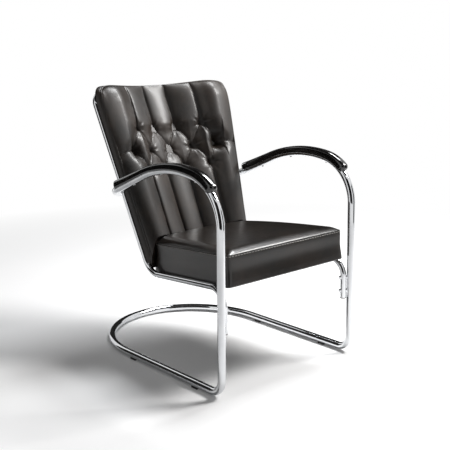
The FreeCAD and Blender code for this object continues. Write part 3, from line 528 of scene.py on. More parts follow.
def armPadGrid():
    # profile: x = w cos^e a, h = top sin^e a above a flat underside; carried along the arm, its height
    # grows with the square of the distance from the middle, and it shrinks on a quarter ellipse at the ends
    m, pad = mainTube, armPad
    front = sideParts["front"]
    turns = np.linspace(m["frontTurn"], 0, len(front))
    keep = front[turns >= pad["startTurn"]]
    back, rise = np.eye(3)[1:]
    frontCentre = np.array([-m["halfWidth"], m["front"], m["legTop"]])
    a = math.radians(pad["startTurn"])
    first = frontCentre + m["front"] * (-back * math.cos(a) + rise * math.sin(a))
    tailEnd = crownEnd + fallDir * (m["straight"] + pad["tail"])
    line = np.concatenate([[tailEnd], sideParts["crown"], keep, [first]])
    gaps = np.linalg.norm(np.diff(line, axis=0), axis=1)
    along = np.concatenate([[0], np.cumsum(gaps)])
    length = along[-1]
    nose = pad["nose"] * (1 - np.cos(np.linspace(0, math.pi / 2, pad["noseRows"])))
    between = np.linspace(pad["nose"], length - pad["nose"], pad["rows"])[1:-1]
    stations = np.concatenate([nose, between, (length - nose)[::-1]])

    def onLine(distance):
        return np.stack([np.interp(distance, along, line[:, k]) for k in range(3)], axis=1)

    centre = onLine(stations)
    ahead = onLine(stations + pad["ahead"]) - onLine(stations - pad["ahead"])
    ahead /= np.linalg.norm(ahead, axis=1)[:, None]
    up = np.cross(ahead, np.array([-1.0, 0, 0]))
    up *= np.sign(up[:, 2:3])
    far = np.minimum(stations, length - stations)
    share = np.sqrt(np.clip(1 - (1 - np.clip(far / pad["nose"], 0, 1)) ** 2, 0, 1))[:, None]
    middle = (2 * stations / length - 1)[:, None]
    top = pad["mid"] + (pad["end"] - pad["mid"]) * middle ** 2
    angle = np.linspace(0, 2 * math.pi, pad["sides"], endpoint=False)[None, :]
    c, sn = np.cos(angle), np.sin(angle)
    x = pad["width"] / 2 * np.sign(c) * np.abs(c) ** pad["shoulder"]
    level = pad["low"] + (top - pad["low"]) * np.where(sn > 0, np.abs(sn) ** pad["shoulder"], 0.0)
    pivot = pad["pivot"] * top
    height = pivot + (level - pivot) * share
    draw = 1 - pad["swell"] * np.where(sn < 0, np.abs(sn) ** 0.5, 0.0)
    sideways = np.array([1.0, 0, 0]) * (x * share * draw)[..., None]
    return centre[:, None] + sideways + up[:, None] * height[..., None]


padGrid = armPadGrid()
for side, nodeName, pieceName in ((1, "arm_pad_left", "armPadNear"), (-1, "arm_pad_right", "armPadFar")):
    piece = makePiece(pieceName, *joinGrids([(padGrid * (side, 1, 1), False, True)]), finishes["lacquer"],
                      "lacquered_wood")
    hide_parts(nodeName)
print("arm pads made")


# Padded blocks

def rounded(a, b, power):
    # pulls the corners of the square in: (a, b) max(|a|, |b|) / (|a|^n + |b|^n)^(1/n)
    size = np.maximum(np.abs(a), np.abs(b))
    total = (np.abs(a) ** power + np.abs(b) ** power) ** (1.0 / power)
    k = np.where(total > 1e-9, size / np.maximum(total, 1e-9), 1.0)
    return a * k, b * k


def borderOf(grid):
    # the points round the rim of a grid, in order
    return np.concatenate([grid[0, :-1], grid[:-1, -1], grid[-1, :0:-1], grid[:0:-1, 0]])


def closedBlock(front, rear, profile):
    # front and rear grids joined by a wall between their rims; profile lists the wall's rows as the share
    # of the way from front to rear and the distance that the row is drawn in towards the middle, in metres
    rimFront, rimRear = borderOf(front), borderOf(rear)
    inwards = rimFront.mean(axis=0) - rimFront
    along = rimRear - rimFront
    along /= np.maximum(np.linalg.norm(along, axis=1)[:, None], 1e-9)
    inwards -= along * np.sum(inwards * along, axis=1)[:, None]
    inwards /= np.linalg.norm(inwards, axis=1)[:, None]
    t = np.array([row[0] for row in profile])[:, None, None]
    drawn = np.array([row[1] for row in profile])[:, None, None]
    wall = rimFront[None] * (1 - t) + rimRear[None] * t + inwards[None] * drawn
    wall[0], wall[-1] = rimFront, rimRear
    return [(front, False, False), (rear, False, False), (wall, False, True)]


# Back; the seat's measures come first, because the padding meets it

seatPad = {
    "frontY": 0.0095, "half": 0.2520, "inward": 0.10864, "baseZ": 0.3345, "baseY": 0.012, "fall": 0.11215,
    "seam": 0.0980, "seamGain": 0.0040, "gainRun": 0.42, "rise": 0.0140, "roll": 0.034,
    "rollMix": (0.55, 0.45),
    "crown": 0.0085, "crownAt": 0.290, "crownRun": 0.280, "crownPower": 1.3, "rearRoll": 0.75,
    "across": 0.0025, "corner": 42.0, "lean": 0.0075, "flare": 0.0045, "foot": 0.0045,
    "rearMiddle": (0.430, 0.475), "rearSide": (0.4457, 0.4157), "rearZ": (0.250, 0.450), "middleY": 0.2,
    "grain": 150, "crowding": 1.38,
}
# room for the seat in the padding: the seat's rear face as a plane that leans, curved across
seatRoom = {
    "up": 0.02, "lean": 0.225, "curve": -0.37, "side": 0.0157, "half": 0.2056, "fit": 0.001,
    "clearFrom": 0.405, "clearRun": 0.045, "open": 0.2,
}

backPad = {
    "low": 0.016, "high": 0.658, "frontIn": 0.008, "frontEdge": 0.030, "rearOut": 0.005, "rearEdge": 0.0098,
    "shareLow": 0.374, "shareHigh": 0.325, "bulge": 0.0160, "bulgeMix": (0.42, 0.58), "bolster": 0.0585,
    "bolsterFall": -0.040, "bolsterFrom": 1.35, "edgeMix": (0.8, 0.2), "crestShift": 0.006, "levelAt": 0.120,
    "seamInner": (0.006, 0.112), "seamOuter": (0.032, 0.074), "belly": (-0.0328, 0.100, 0.2888),
    "corner": 9.0, "rearCorner": 11.5, "foot": 60.0, "endRoll": 0.22, "topEdge": 0.010,
    "endEdge": (0.90, 0.10),
    "tube": 0.010, "fit": 0.001, "shell": 0.010, "padBehind": 0.013, "gap": 0.0004, "grain": (260, 310),
    "crowdAcross": 1.25, "crowdAlong": (-1.1, 1.35),
    "rows": ((0.495, (-1.5, -0.5, 0.5, 1.5)), (0.416, (-2, -1, 0, 1, 2)), (0.345, (-1.5, -0.5, 0.5, 1.5))),
}
# grooves and folds; crisp and easy are the softness of the two ways in which a fold can lie
fold = {
    "grooveTop": 0.72, "grooveLow": -0.05, "crisp": 0.55, "easy": 1.5, "easyShare": 3.0, "bow": 0.005,
    "overlap": 0.35, "crease": 0.0046, "creaseWidth": 0.0030, "line": 0.0005, "soft": (0.004, 0.005),
    "widthRun": 0.4, "tuftReach": 0.02, "tuftRun": 0.05, "tuftFlat": 0.52,
}
# pleats from the outer buttons to the sides: a thin line in a shallow trough
pleat = {
    "slope": 0.12, "line": 0.0050, "lineWidth": 0.0026, "lineFrom": 0.012, "lineRun": 0.02,
    "trough": 0.0055, "troughWidth": 0.022, "troughFrom": 0.02, "troughRun": 0.03,
}
# pits at the buttons, with wrinkles round them
pit = {
    "depth": 0.0190, "width": 0.0120, "power": 1.2, "squeeze": 0.9, "endFrom": 1.6, "endGain": 1.2,
    "endDip": 0.016, "endWidth": 0.030, "wrinkle": 0.0006, "wrinkleAt": 0.021, "wrinkleWidth": 0.012,
}


def uprightX(s):
    # half the distance between the uprights, which spread evenly towards the top
    return chair["railRear"][0] + flare * s


def flutePitch(s):
    # width of a flute: a share of uprightX that goes evenly from the low to the high end
    b = backPad
    share = b["shareLow"] + (b["shareHigh"] - b["shareLow"]) * (s - b["low"]) / (b["high"] - b["low"])
    return share * uprightX(s)


def seamLevel(x, s):
    # height of the sewn lines: those half a flute out and those one and a half out fall back with s, and
    # between them it goes with x squared, where 1.5^2 - 0.5^2 = 2
    b = backPad
    rise = s - b["levelAt"]
    inner = b["seamInner"][0] - b["seamInner"][1] * rise
    outer = b["seamOuter"][0] - b["seamOuter"][1] * rise
    step = flutePitch(s)
    share = ((np.minimum(np.abs(x), 1.5 * step) / step) ** 2 - 0.25) / 2.0
    return inner + (outer - inner) * share


def foldLines():
    # straight pieces of the grooves, of softness 1, and of the folds between the buttons, as pairs of
    # (x, s); grooves run out at both ends
    (topS, columns), (midS, _), (lowS, _) = backPad["rows"]

    def at(column, s):
        return column * flutePitch(s), s

    lines = [(at(column, s), at(column, end), 1.0) for column in columns
             for s, end in ((topS, fold["grooveTop"]), (lowS, fold["grooveLow"]))]
    for column in columns:
        for step in (-0.5, 0.5):
            down, up = (fold["crisp"], fold["easy"]) if step > 0 else (fold["easy"], fold["crisp"])
            lines.append((at(column, topS), at(column + step, midS), down))
            lines.append((at(column + step, midS), at(column, lowS), up))
    return lines


def foldDistance(x, s, start, end, softness):
    # distance to the straight line between two points, which bows by a few mm on a fold; where one layer
    # of leather overlaps the next the distance counts for more on one side
    start, end = np.asarray(start), np.asarray(end)
    run = end - start
    size = np.hypot(*run)
    t = np.clip(((x - start[0]) * run[0] + (s - start[1]) * run[1]) / size ** 2, 0, 1)
    bow = 0.0 if softness == 1.0 else fold["bow"] * np.sin(math.pi * t) * (1 if softness < 1 else -1)
    side = ((x - start[0]) * run[1] - (s - start[1]) * run[0]) / size
    away = np.hypot(x - start[0] - t * run[0], s - start[1] - t * run[1])
    free = np.abs(np.where((t > 0) & (t < 1), side + bow, away))
    if softness < 1.0:
        free = free * np.where(side + bow > 0, 1.0 + fold["overlap"] * np.sin(math.pi * t), 1.0)
    return free, t


def bell(distance, width, power=2):
    # exp(-(d / w)^n)
    return np.exp(-(distance / width) ** power)


def padFront(x, s):
    # height = seam level + (crown - seam level) f(d / w), where d is the least distance to the folds and
    # f(t) mixes a parabola and a quarter circle; the bolsters fall from their crest to the piping in the
    # same way; creases, side pleats and pits are taken off, and wrinkles round the buttons are added
    b = backPad
    side = np.abs(x)
    step = flutePitch(s)
    half = uprightX(s) - b["frontIn"]
    crestX = (1.5 * step + half) / 2 + b["crestShift"]
    seam = seamLevel(x, s)
    crest = b["bolster"] + b["bolsterFall"] * (s - b["levelAt"])
    (topS, _), (midS, _), (lowS, _) = b["rows"]
    tufted = smoothStep((s - lowS + fold["tuftReach"]) / fold["tuftRun"])
    tufted = tufted * smoothStep((topS + fold["tuftReach"] - s) / fold["tuftRun"])
    crown = seam + b["bulge"] * (1 - fold["tuftFlat"] * tufted)
    outside = (side - b["bolsterFrom"] * step) / (crestX - b["bolsterFrom"] * step)
    crown = crown + (crest - crown) * smoothStep(outside)
    near = np.full(np.shape(x), 9.0)
    sharp = near.copy()
    for start, end, softness in foldLines():
        free, t = foldDistance(x, s, start, end, softness)
        sharp = np.minimum(sharp, free * (1.0 if softness <= 1.0 else fold["easyShare"]))
        swell = 0.0 if softness == 1.0 else fold["soft"][0] + fold["soft"][1] * softness
        soft = fold["line"] + swell * np.sin(math.pi * t)
        near = np.minimum(near, np.sqrt(free ** 2 + soft ** 2))
    width = 0.5 * step + (crestX - 2.0 * step) * smoothStep((side - 1.5 * step) / (fold["widthRun"] * step))
    t = np.clip(near / width, 0, 1)
    flat, arch = b["bulgeMix"]
    f = flat * (1 - (1 - t) ** 2) + arch * np.sqrt(np.clip(1 - (1 - t) ** 2, 0, 1))
    level = seam + (crown - seam) * f - fold["crease"] * np.exp(-sharp / fold["creaseWidth"])
    u = np.clip((half - side) / (half - crestX), 0, 1)
    flat, arch = b["edgeMix"]
    edge = flat * (1 - (1 - u) ** 2) + arch * np.sqrt(1 - (1 - u) ** 2)
    level = np.where(side > crestX, b["frontEdge"] + (crest - b["frontEdge"]) * edge, level)
    past = side - 2.0 * flutePitch(midS)
    across = s - midS + pleat["slope"] * past
    line = np.exp(-np.abs(across) / pleat["lineWidth"])
    level = level - pleat["line"] * line * smoothStep((past + pleat["lineFrom"]) / pleat["lineRun"])
    trough = bell(across, pleat["troughWidth"])
    level = level - pleat["trough"] * trough * smoothStep((past + pleat["troughFrom"]) / pleat["troughRun"])
    for rowS, columns in b["rows"]:
        for column in columns:
            centre = column * flutePitch(rowS)
            away = np.hypot(x - centre, (s - rowS) * pit["squeeze"])
            bearing = np.arctan2(s - rowS, x - centre)
            folds = np.cos(bearing * 7.0 + column * 2.1 + rowS * 40.0) + 0.5 * np.cos(bearing * 12.0 - column)
            end = abs(column) > pit["endFrom"]
            if end:
                level = level - pit["endDip"] * bell(away, pit["endWidth"])
            depth = pit["depth"] * (pit["endGain"] if end else 1.0)
            level = level - depth * bell(away, pit["width"], pit["power"])
            level = level + pit["wrinkle"] * folds * bell(away - pit["wrinkleAt"], pit["wrinkleWidth"])
    return level


def bellyLevel(s):
    # rear face of the shell on the centre line
    level, slope, middle = backPad["belly"]
    return level - slope * (s - middle)


def shellFront(x, s):
    # front of the shell across the back, and past it a straight run out to the rear edge of the side panel
    b = backPad
    inner = uprightX(s) - b["tube"] - b["fit"]
    outer = uprightX(s) + b["rearOut"]
    side = np.abs(x)
    bend = 1 - (np.minimum(side, inner) / uprightX(s)) ** 2
    level = b["padBehind"] + (bellyLevel(s) + b["shell"] - b["padBehind"]) * bend + b["gap"]
    t = np.clip((side - inner) / (outer - inner), 0, 1)
    return level * (1 - t) + b["rearEdge"] * t


def seatLimit(x, s):
    # how far forward the padding may stand where the seat is in its way; free above the seat's top
    room = seatRoom
    z = chair["railRear"][2] + s * leanCos + room["up"]
    above = z - seatPad["rearZ"][0]
    rear = seatPad["rearMiddle"][0] + room["lean"] * above
    rear = rear + (room["curve"] * above + room["side"]) * (x / room["half"]) ** 2
    limit = (chair["railRear"][1] + s * leanSin - rear - room["fit"]) / leanCos
    return limit + room["open"] * smoothStep((z - room["clearFrom"]) / room["clearRun"])


def backPadGrids():
    # front: x = a (U(s) - frontIn), rear: x = a (U(s) + rearOut), s = middle + b reach; the ends roll over
    b = backPad
    crowd = b["crowdAcross"]
    across = np.sin(np.linspace(-1, 1, b["grain"][0]) * crowd) / math.sin(crowd)
    along = np.sin(np.linspace(*b["crowdAlong"], b["grain"][1]))
    along = (along - along[0]) * 2 / (along[-1] - along[0]) - 1
    across, along = np.meshgrid(across, along)
    middle, reach = (b["low"] + b["high"]) / 2, (b["high"] - b["low"]) / 2

    def plan(power):
        above, below = rounded(across, along, power), rounded(across, along, b["foot"])
        a, v = (np.where(along > 0, high, low) for high, low in zip(above, below))
        return a, v, middle + v * reach

    a, v, s = plan(b["corner"])
    limit = np.clip(1 - np.abs(a) ** b["corner"], 0, 1) ** (1 / b["corner"])
    left = np.sqrt(np.clip(1 - (1 - np.clip((limit - v) / b["endRoll"], 0, 1)) ** 2, 0, 1))
    x = a * (uprightX(s) - b["frontIn"])
    rearA, _rearV, rearS = plan(b["rearCorner"])
    wide = rearA * (uprightX(rearS) + b["rearOut"])
    behind = shellFront(a * (uprightX(s) + b["rearOut"]), s)
    face = np.minimum(padFront(x, s), seatLimit(x, s))
    edgeStart, edgeRun = b["endEdge"]
    sideways = smoothStep((np.abs(a) - edgeStart) / edgeRun)
    ends = behind + b["topEdge"] + (b["frontEdge"] - b["rearEdge"] - b["topEdge"]) * sideways
    level = ends + (face - ends) * left
    return backPoints(x, s, level), backPoints(wide, rearS, shellFront(wide, rearS))


frontGrid, rearGrid = backPadGrids()
# wall of the back from front to rear, with the piping as its ridge
pipe = [(0.0, 0.0), (0.03, -0.0012), (0.09, -0.0016), (0.15, -0.0010), (0.19, 0.0006), (0.25, 0.0002),
        (0.45, -0.0008), (0.75, -0.0008), (0.93, 0.0), (1.0, 0.0)]
backPiece = makePiece("backPad", *joinGrids(closedBlock(frontGrid, rearGrid, pipe)), finishes["leather"],
                      "black_leather")
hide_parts("back_cushion")
print("back pad made:", len(backPiece.data.polygons), "faces")

backCover = {"out": 0.0104, "high": 0.6124, "low": 0.030, "behind": 0.0104, "leather": 0.0016, "corner": 22.0,
             "grain": 90}


def backCoverGrids():
    # the shell and its rear leather as one wrapped panel, whose rear face follows its front at a fixed depth
    c = backCover
    spots = np.linspace(-1, 1, c["grain"])
    a, v = np.meshgrid(spots, spots)
    upper = rounded(a, v, c["corner"])
    a, v = np.where(v > 0, upper[0], a), np.where(v > 0, upper[1], v)
    s = (c["low"] + c["high"]) / 2 + v * (c["high"] - c["low"]) / 2
    x = a * (uprightX(s) - c["out"])
    ahead = shellFront(x, s) - backPad["gap"] * 2
    return backPoints(x, s, ahead), backPoints(x, s, ahead - c["behind"] - c["leather"])


coverFront, coverRear = backCoverGrids()
# wall of the cover, with a welt near its rear face
welt = [(0.0, 0.0), (0.3, -0.0002), (0.68, -0.0002), (0.72, 0.0006), (0.76, -0.0002), (0.82, -0.0004),
        (0.92, 0.0002), (0.98, 0.0010), (1.0, 0.0)]
coverPiece = makePiece("backCover", *joinGrids(closedBlock(coverFront, coverRear, welt)), finishes["leather"],
                       "black_leather")
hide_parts("back_rear_cover", "back_shell")

buttonLook = {"radius": 0.0068, "rise": 0.0030, "sink": 0.0006, "foot": 0.6, "rings": 7,
              "sides": 20}


def buttonGrids():
    # a low dome, r = R sin t and height = rise cos t, with a flat foot, at the bottom of every pit
    k = buttonLook
    turn = np.linspace(0, 2 * math.pi, k["sides"], endpoint=False)[None, :]
    t = np.linspace(0, math.pi / 2, k["rings"])[:, None]
    r = np.concatenate([k["radius"] * np.sin(t), [[k["radius"]]], [[0.0]]])
    foot = [[-k["rise"] * k["foot"]]]
    h = np.concatenate([k["rise"] * np.cos(t), foot, foot])
    grids = []
    for rowS, columns in backPad["rows"]:
        for column in columns:
            centre = column * flutePitch(rowS)
            floor = float(padFront(np.array([[centre]]), np.array([[rowS]]))[0, 0]) + k["sink"]
            grid = backPoints(centre + r * np.cos(turn), rowS + r * np.sin(turn), floor + h + 0 * turn)
            grids.append((grid, False, True))
    return grids


buttonPiece = makePiece("backButtons", *joinGrids(buttonGrids()), finishes["leather"], "black_leather")
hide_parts("back_buttons")


# Seat

def seatBase(y):
    # underside of the seat, which falls evenly towards the rear
    return seatPad["baseZ"] - seatPad["fall"] * (y - seatPad["baseY"])


def seatPlan(a, v, z, lean, spread):
    # y runs from the front edge to the rear, x = a half(y); the rear edge is an arc whose middle and ends
    # lie at depths that change with the height z
    p = seatPad
    t = (z - p["rearZ"][0]) / (p["rearZ"][1] - p["rearZ"][0])
    middle = p["rearMiddle"][0] + (p["rearMiddle"][1] - p["rearMiddle"][0]) * t
    side = p["rearSide"][0] + (p["rearSide"][1] - p["rearSide"][0]) * t
    rear = middle + (side - middle) * a ** 2
    front = p["frontY"] - lean
    y = front + (v + 1) / 2 * (rear - front)
    half = p["half"] + spread * (1 - (v + 1) / 2) - (y - p["frontY"]) * p["inward"]
    return a * half, y, half


def seatGrids():
    # top: height over the seam = g(dx) g(dy) (rise + crown c(y) + across (1 - a^2)), where dx and dy are the
    # distances from the seam, g(u) mixes a parabola and a quarter circle over the roll, c(y) is a low arch
    p = seatPad
    spots = np.sin(np.linspace(-1, 1, p["grain"]) * p["crowding"]) / math.sin(p["crowding"])
    a, v = rounded(*np.meshgrid(spots, spots), p["corner"])
    z = seatBase(p["middleY"]) + p["seam"]
    for _ in range(3):
        x, y, half = seatPlan(a, v, z, 0.0, 0.0)
        seam = seatBase(y) + p["seam"] + p["seamGain"] * (y - p["frontY"]) / p["gainRun"]
        z = seam

    def roll(distance):
        u = np.clip(distance / p["roll"], 0, 1)
        return p["rollMix"][0] * (1 - (1 - u) ** 2) + p["rollMix"][1] * np.sqrt(1 - (1 - u) ** 2)

    ahead = y - seatPlan(a, -1 + 0 * v, z, 0.0, 0.0)[1]
    behind = seatPlan(a, 1 + 0 * v, z, 0.0, 0.0)[1] - y
    arch = np.clip(1 - ((y - p["crownAt"]) / p["crownRun"]) ** 2, 0, 1) ** p["crownPower"]
    lift = roll((1 - np.abs(a)) * half) * roll(ahead) * (1 - p["rearRoll"] + p["rearRoll"] * roll(behind))
    top = seam + lift * (p["rise"] + p["crown"] * arch + p["across"] * (1 - a ** 2))
    zLow = seatBase(p["middleY"])
    for _ in range(3):
        xl, yl, _half = seatPlan(a, v, zLow, p["lean"], p["flare"])
        zLow = seatBase(yl)
    shrink = 1 - p["foot"] / p["half"]
    pivot = p["frontY"] + p["middleY"]
    low = np.stack([xl * shrink, pivot + (yl - pivot) * shrink, zLow], axis=-1)
    return np.stack([x, y, top], axis=-1), low, np.stack([x, y, seam], axis=-1)


topGrid, lowGrid, seamGrid = seatGrids()
# wall of the seat from the seam to the underside: the seam's ridge, a slight bulge and a rounded foot
wall = {"ridge": 0.04, "foot": 0.95, "bulge": 0.0026, "rows": 24, "footRows": 7}
seatWall = [(0.0, 0.0), (0.006, 0.0015), (0.014, 0.0017), (0.022, 0.0006), (wall["ridge"], 0.0)]
seatWall += [(t, wall["bulge"] * math.sin(math.pi * (t - wall["ridge"]) / 0.92) ** 2
              - seatPad["foot"] * max(0, t - wall["ridge"]))
             for t in np.linspace(0.06, 0.94, wall["rows"])]
seatWall += [(wall["foot"] + 0.05 * math.sin(q), seatPad["foot"] * (-0.95 + 0.95 * (1 - math.cos(q))))
             for q in np.linspace(0, math.pi / 2, wall["footRows"])]
seatPiece = makePiece("seatPad", *joinGrids(closedBlock(topGrid, lowGrid, seatWall)), finishes["seatLeatherShadedCopy"],
                      "black_leather")
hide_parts("seat_cushion")
print("seat pad made:", len(seatPiece.data.polygons), "faces")

stitch = {"pitch": 0.0115, "length": 0.0082, "radius": 0.0010, "drop": 0.0036, "out": 0.0007,
          "stations": (-0.5, -0.46, -0.3, 0.3, 0.46, 0.5), "sizes": (0.0, 0.6, 1.0, 1.0, 0.6, 0.0),
          "sides": 8, "ahead": 0.001}


def stitchGrids(rim):
    # short capsules along the rim of the seat: rings round a spine, whose radius goes to nothing at its ends
    k = stitch
    gaps = np.linalg.norm(np.diff(rim, axis=0), axis=1)
    along = np.concatenate([[0], np.cumsum(gaps)])
    count = int(along[-1] / k["pitch"])
    middle = (np.arange(count) + 0.5) * k["pitch"]

    def at(distance):
        return np.stack([np.interp(distance, along, rim[:, i]) for i in range(3)], axis=-1)

    stations = np.array(k["stations"]) * k["length"]
    sizes = np.array(k["sizes"]) * k["radius"]
    spine = at(middle[:, None] + stations[None])
    run = at(middle + k["ahead"]) - at(middle - k["ahead"])
    run /= np.linalg.norm(run, axis=1)[:, None]
    up = np.array([0.0, 0.0, 1.0]) - run * run[:, 2:3]
    up /= np.linalg.norm(up, axis=1)[:, None]
    outwards = np.cross(run, up)
    centre = rim.mean(axis=0)
    outwards *= np.sign(np.sum(outwards * (at(middle) - centre), axis=1))[:, None]
    spine = spine + outwards[:, None] * k["out"] - up[:, None] * k["drop"]
    angle = np.linspace(0, 2 * math.pi, k["sides"], endpoint=False)
    ring = outwards[:, None] * np.cos(angle)[None, :, None] + up[:, None] * np.sin(angle)[None, :, None]
    return [(spine[i][:, None] + sizes[:, None, None] * ring[i][None], False, True) for i in range(count)]


rim = np.concatenate([seamGrid[::-1, 0], seamGrid[0, 1:], seamGrid[1:, -1]])
stitchPiece = makePiece("seatStitches", *joinGrids(stitchGrids(rim)), finishes["thread"], "black_leather",
                        weld=meshing["threadWeld"])

dustCover = {"inset": 0.018, "rear": 0.370, "thick": 0.0012, "sag": 0.004, "out": 0.001, "grain": 60}


def dustGrids():
    # underside z = base - sag cos cos, upper side a fixed thickness above it
    d, p = dustCover, seatPad
    spots = np.linspace(-1, 1, d["grain"])
    a, v = np.meshgrid(spots, spots)
    front = p["frontY"] + d["inset"]
    y = front + (v + 1) / 2 * (d["rear"] - front)
    x = a * (p["half"] + d["out"] - (y - p["frontY"]) * p["inward"] - d["inset"])
    sag = d["sag"] * np.cos(a * math.pi / 2) * np.cos(v * math.pi / 2)
    z = seatBase(y) - sag
    return np.stack([x, y, z + d["thick"]], axis=-1), np.stack([x, y, z], axis=-1)


dustTop, dustLow = dustGrids()
dustEdge = [(0.0, 0.0), (0.5, -0.0002), (1.0, 0.0)]
dustPiece = makePiece("dustCover", *joinGrids(closedBlock(dustTop, dustLow, dustEdge)),
                      finishes["dustCloth"], "dust_cloth")
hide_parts("seat_dust_cover")
print("seat, stitches and dust cover made")


# Stage

stage = {
    "camera": (-1.8902, -2.2342, 1.0789), "focal": 867.0, "centre": (225.1, 181.0), "frameSize": 450.0,
    "yaw": -41.36, "pitch": 9.68, "roll": -0.4, "film": 36.0, "farEnd": 60.0,
    "floorGlow": 0.06, "floorTone": 0.90, "floorDrift": 0.02, "floorCool": 0.004, "whiteFrom": (1.5, 2.6),
    "floorRings": (0.0, 1.0, 3.0, 8.0, 20.0), "floorSides": 96, "skyHeight": (-0.02, 0.85),
    "sky": (0.02, 0.20),
    "aim": (0, 0, 0.42),
}
# dark screens: from and to in degrees, radius and height in m; the last is a ceiling
screens = ((10, 85, 2.9, 3.6), (112, 165, 2.7, 3.0), (196, 262, 3.4, 3.4), (290, 322, 2.6, 1.6),
           (0, 360, -3.2, 3.9))
# soft boxes: direction and distance from the seat, size in m, power in W, colour
softBoxes = {
    "rightSoftBox": ((0.81, -0.55, 1.0), 3.2, (0.8, 1.0), 105, (1.0, 0.99, 0.98)),
    "topSoftBox": ((0.50, 0.05, 1.0), 3.0, (1.1, 0.8), 75, (0.98, 0.99, 1.0)),
}


def makeCamera():
    # looks along (-sin yaw cos pitch, cos yaw cos pitch, -sin pitch), rolled about that line
    yaw, pitch, roll = (math.radians(stage[k]) for k in ("yaw", "pitch", "roll"))
    ahead = Vector((-math.sin(yaw) * math.cos(pitch), math.cos(yaw) * math.cos(pitch), -math.sin(pitch)))
    right = ahead.cross(Vector((0, 0, 1))).normalized()
    up = right.cross(ahead)
    right, up = (right * math.cos(roll) + up * math.sin(roll), up * math.cos(roll) - right * math.sin(roll))
    lens = bpy.data.cameras.new("viewCamera")
    lens.sensor_width = stage["film"]
    lens.lens = stage["focal"] / stage["frameSize"] * stage["film"]
    lens.shift_x = (stage["frameSize"] / 2 - stage["centre"][0]) / stage["frameSize"]
    lens.shift_y = (stage["centre"][1] - stage["frameSize"] / 2) / stage["frameSize"]
    lens.clip_end = stage["farEnd"]
    camera = bpy.data.objects.new("viewCamera", lens)
    scene.collection.objects.link(camera)
    turn = Matrix((right, up, -ahead)).transposed().to_4x4()
    camera.matrix_world = Matrix.Translation(stage["camera"]) @ turn
    scene.camera = camera


def makeFloor():
    # a wide disc; seen by the camera it is white where it is lit, and it keeps the chair's shadow; far from
    # the chair it goes over to plain white, so that no horizon shows
    board = Board("paleFloor")
    tone = board.noise(1.2, 3.0)
    low, high = stage["floorTone"] - stage["floorDrift"], stage["floorTone"] + stage["floorDrift"]
    base = board.colours(tone, (low, low, low + stage["floorCool"]), (high, high, high))
    path = board.tree.nodes.new("ShaderNodeLightPath")
    seen = Flow(board, path.outputs["Is Camera Ray"])
    mirrored = Flow(board, path.outputs["Is Glossy Ray"])
    through = Flow(board, path.outputs["Is Transmission Ray"])
    lit = board.node("ShaderNodeBsdfDiffuse", None, Color=base)
    glow = board.node("ShaderNodeEmission", None, Color=(1.0, 1.0, 1.0), Strength=stage["floorGlow"])
    near = board.node("ShaderNodeAddShader", None, lit, glow)
    chosen = board.node("ShaderNodeMixShader", None, seen, lit, near)
    spot = board.node("ShaderNodeTexCoord", output="Object")
    reach = board.node("ShaderNodeVectorMath", {"operation": "LENGTH"}, spot, output=1)
    far = reach.within(*stage["whiteFrom"]) * (seen + mirrored + through).least(1.0)
    white = board.node("ShaderNodeEmission", None, Color=(1.0, 1.0, 1.0), Strength=1.0)
    board.node("ShaderNodeOutputMaterial", None, board.node("ShaderNodeMixShader", None, far, chosen, white))
    ring = np.linspace(0, 2 * math.pi, stage["floorSides"], endpoint=False)
    radii = np.array(stage["floorRings"])[:, None]
    grid = np.stack([radii * np.cos(ring), radii * np.sin(ring), 0 * radii * ring], axis=-1)
    points, quads = joinGrids([(grid, False, True)])
    mesh = bpy.data.meshes.new("floor")
    mesh.from_pydata(points.tolist(), [], quads.tolist())
    mesh.validate()
    mesh.materials.append(board.material)
    floor = bpy.data.objects.new("floor", mesh)
    scene.collection.objects.link(floor)


def makeFlags():
    # dark screens round the chair, as in a studio, seen only by polished and glossy surfaces: arcs of a
    # cylinder, and for a radius below nothing a disc of that radius at the given height
    board = Board("darkScreen")
    cloth = board.noise(3.0, 3.0)
    material = board.finish(Base_Color=board.colours(cloth, (0.012, 0.012, 0.012), (0.022, 0.021, 0.020)),
                            Roughness=0.95, Specular_IOR_Level=0.1)
    for number, (start, end, radius, height) in enumerate(screens):
        angle = np.radians(np.linspace(start, end, 24))[None, :]
        level = np.array([0.0, 0.5, 1.0])[:, None] * height
        reach, rise = radius + 0 * level, level + 0 * angle
        if radius < 0:
            reach, rise = -radius * level / height, height + 0 * level * angle
        grid = np.stack([reach * np.cos(angle), reach * np.sin(angle), rise], axis=-1)
        points, quads = joinGrids([(grid, False, False)])
        mesh = bpy.data.meshes.new(f"flag{number}")
        mesh.from_pydata(points.tolist(), [], quads.tolist())
        mesh.materials.append(material)
        flag = bpy.data.objects.new(f"flag{number}", mesh)
        scene.collection.objects.link(flag)
        flag.visible_camera = flag.visible_diffuse = flag.visible_shadow = False


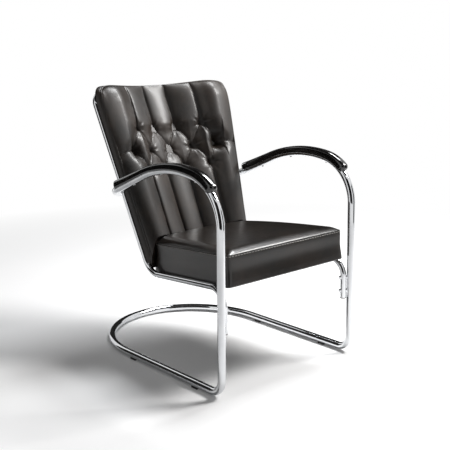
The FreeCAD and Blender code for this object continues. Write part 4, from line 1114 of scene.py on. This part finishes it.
def softLight(name, direction, distance, size, power, colour):
    # a soft box at a distance from the seat, facing it
    target = Vector(stage["aim"])
    place = target + Vector(direction).normalized() * distance
    lamp = bpy.data.lights.new(name, "AREA")
    lamp.shape = "RECTANGLE"
    lamp.size, lamp.size_y = size
    lamp.energy = power
    lamp.color = colour
    holder = bpy.data.objects.new(name, lamp)
    scene.collection.objects.link(holder)
    turn = (place - target).to_track_quat("Z", "Y").to_matrix().to_4x4()
    holder.matrix_world = Matrix.Translation(place) @ turn


def makeWorld():
    # dark round the horizon and brighter overhead as a light; seen by the camera, in polish or through glass
    # it is plain white
    world = bpy.data.worlds.new("studio")
    scene.world = world
    world.use_nodes = True
    tree = world.node_tree
    tree.nodes.clear()

    def node(kind, **values):
        made = tree.nodes.new(kind)
        for key, value in values.items():
            made.inputs[key].default_value = value
        return made

    way = tree.nodes.new("ShaderNodeTexCoord")
    parts = tree.nodes.new("ShaderNodeSeparateXYZ")
    (low, high), (dim, bright) = stage["skyHeight"], stage["sky"]
    rise = node("ShaderNodeMapRange", **{"From Min": low, "From Max": high, "To Min": dim, "To Max": bright})
    tree.links.new(way.outputs["Generated"], parts.inputs[0])
    tree.links.new(parts.outputs["Z"], rise.inputs["Value"])
    sky = node("ShaderNodeBackground", Color=(1.0, 1.0, 1.0, 1.0))
    tree.links.new(rise.outputs[0], sky.inputs["Strength"])
    seen = node("ShaderNodeBackground", Color=(1.0, 1.0, 1.0, 1.0), Strength=1.0)
    path = tree.nodes.new("ShaderNodeLightPath")
    mix = tree.nodes.new("ShaderNodeMixShader")
    out = tree.nodes.new("ShaderNodeOutputWorld")
    either = None
    for ray in ("Is Camera Ray", "Is Glossy Ray", "Is Transmission Ray"):
        if either is None:
            either = path.outputs[ray]
            continue
        most = tree.nodes.new("ShaderNodeMath")
        most.operation = "MAXIMUM"
        tree.links.new(either, most.inputs[0])
        tree.links.new(path.outputs[ray], most.inputs[1])
        either = most.outputs[0]
    tree.links.new(either, mix.inputs[0])
    tree.links.new(sky.outputs[0], mix.inputs[1])
    tree.links.new(seen.outputs[0], mix.inputs[2])
    tree.links.new(mix.outputs[0], out.inputs[0])


makeCamera()
makeFloor()
makeWorld()
makeFlags()
for boxName, values in softBoxes.items():
    softLight(boxName, *values)
scene.view_settings.view_transform = "Standard"
print("stage made")
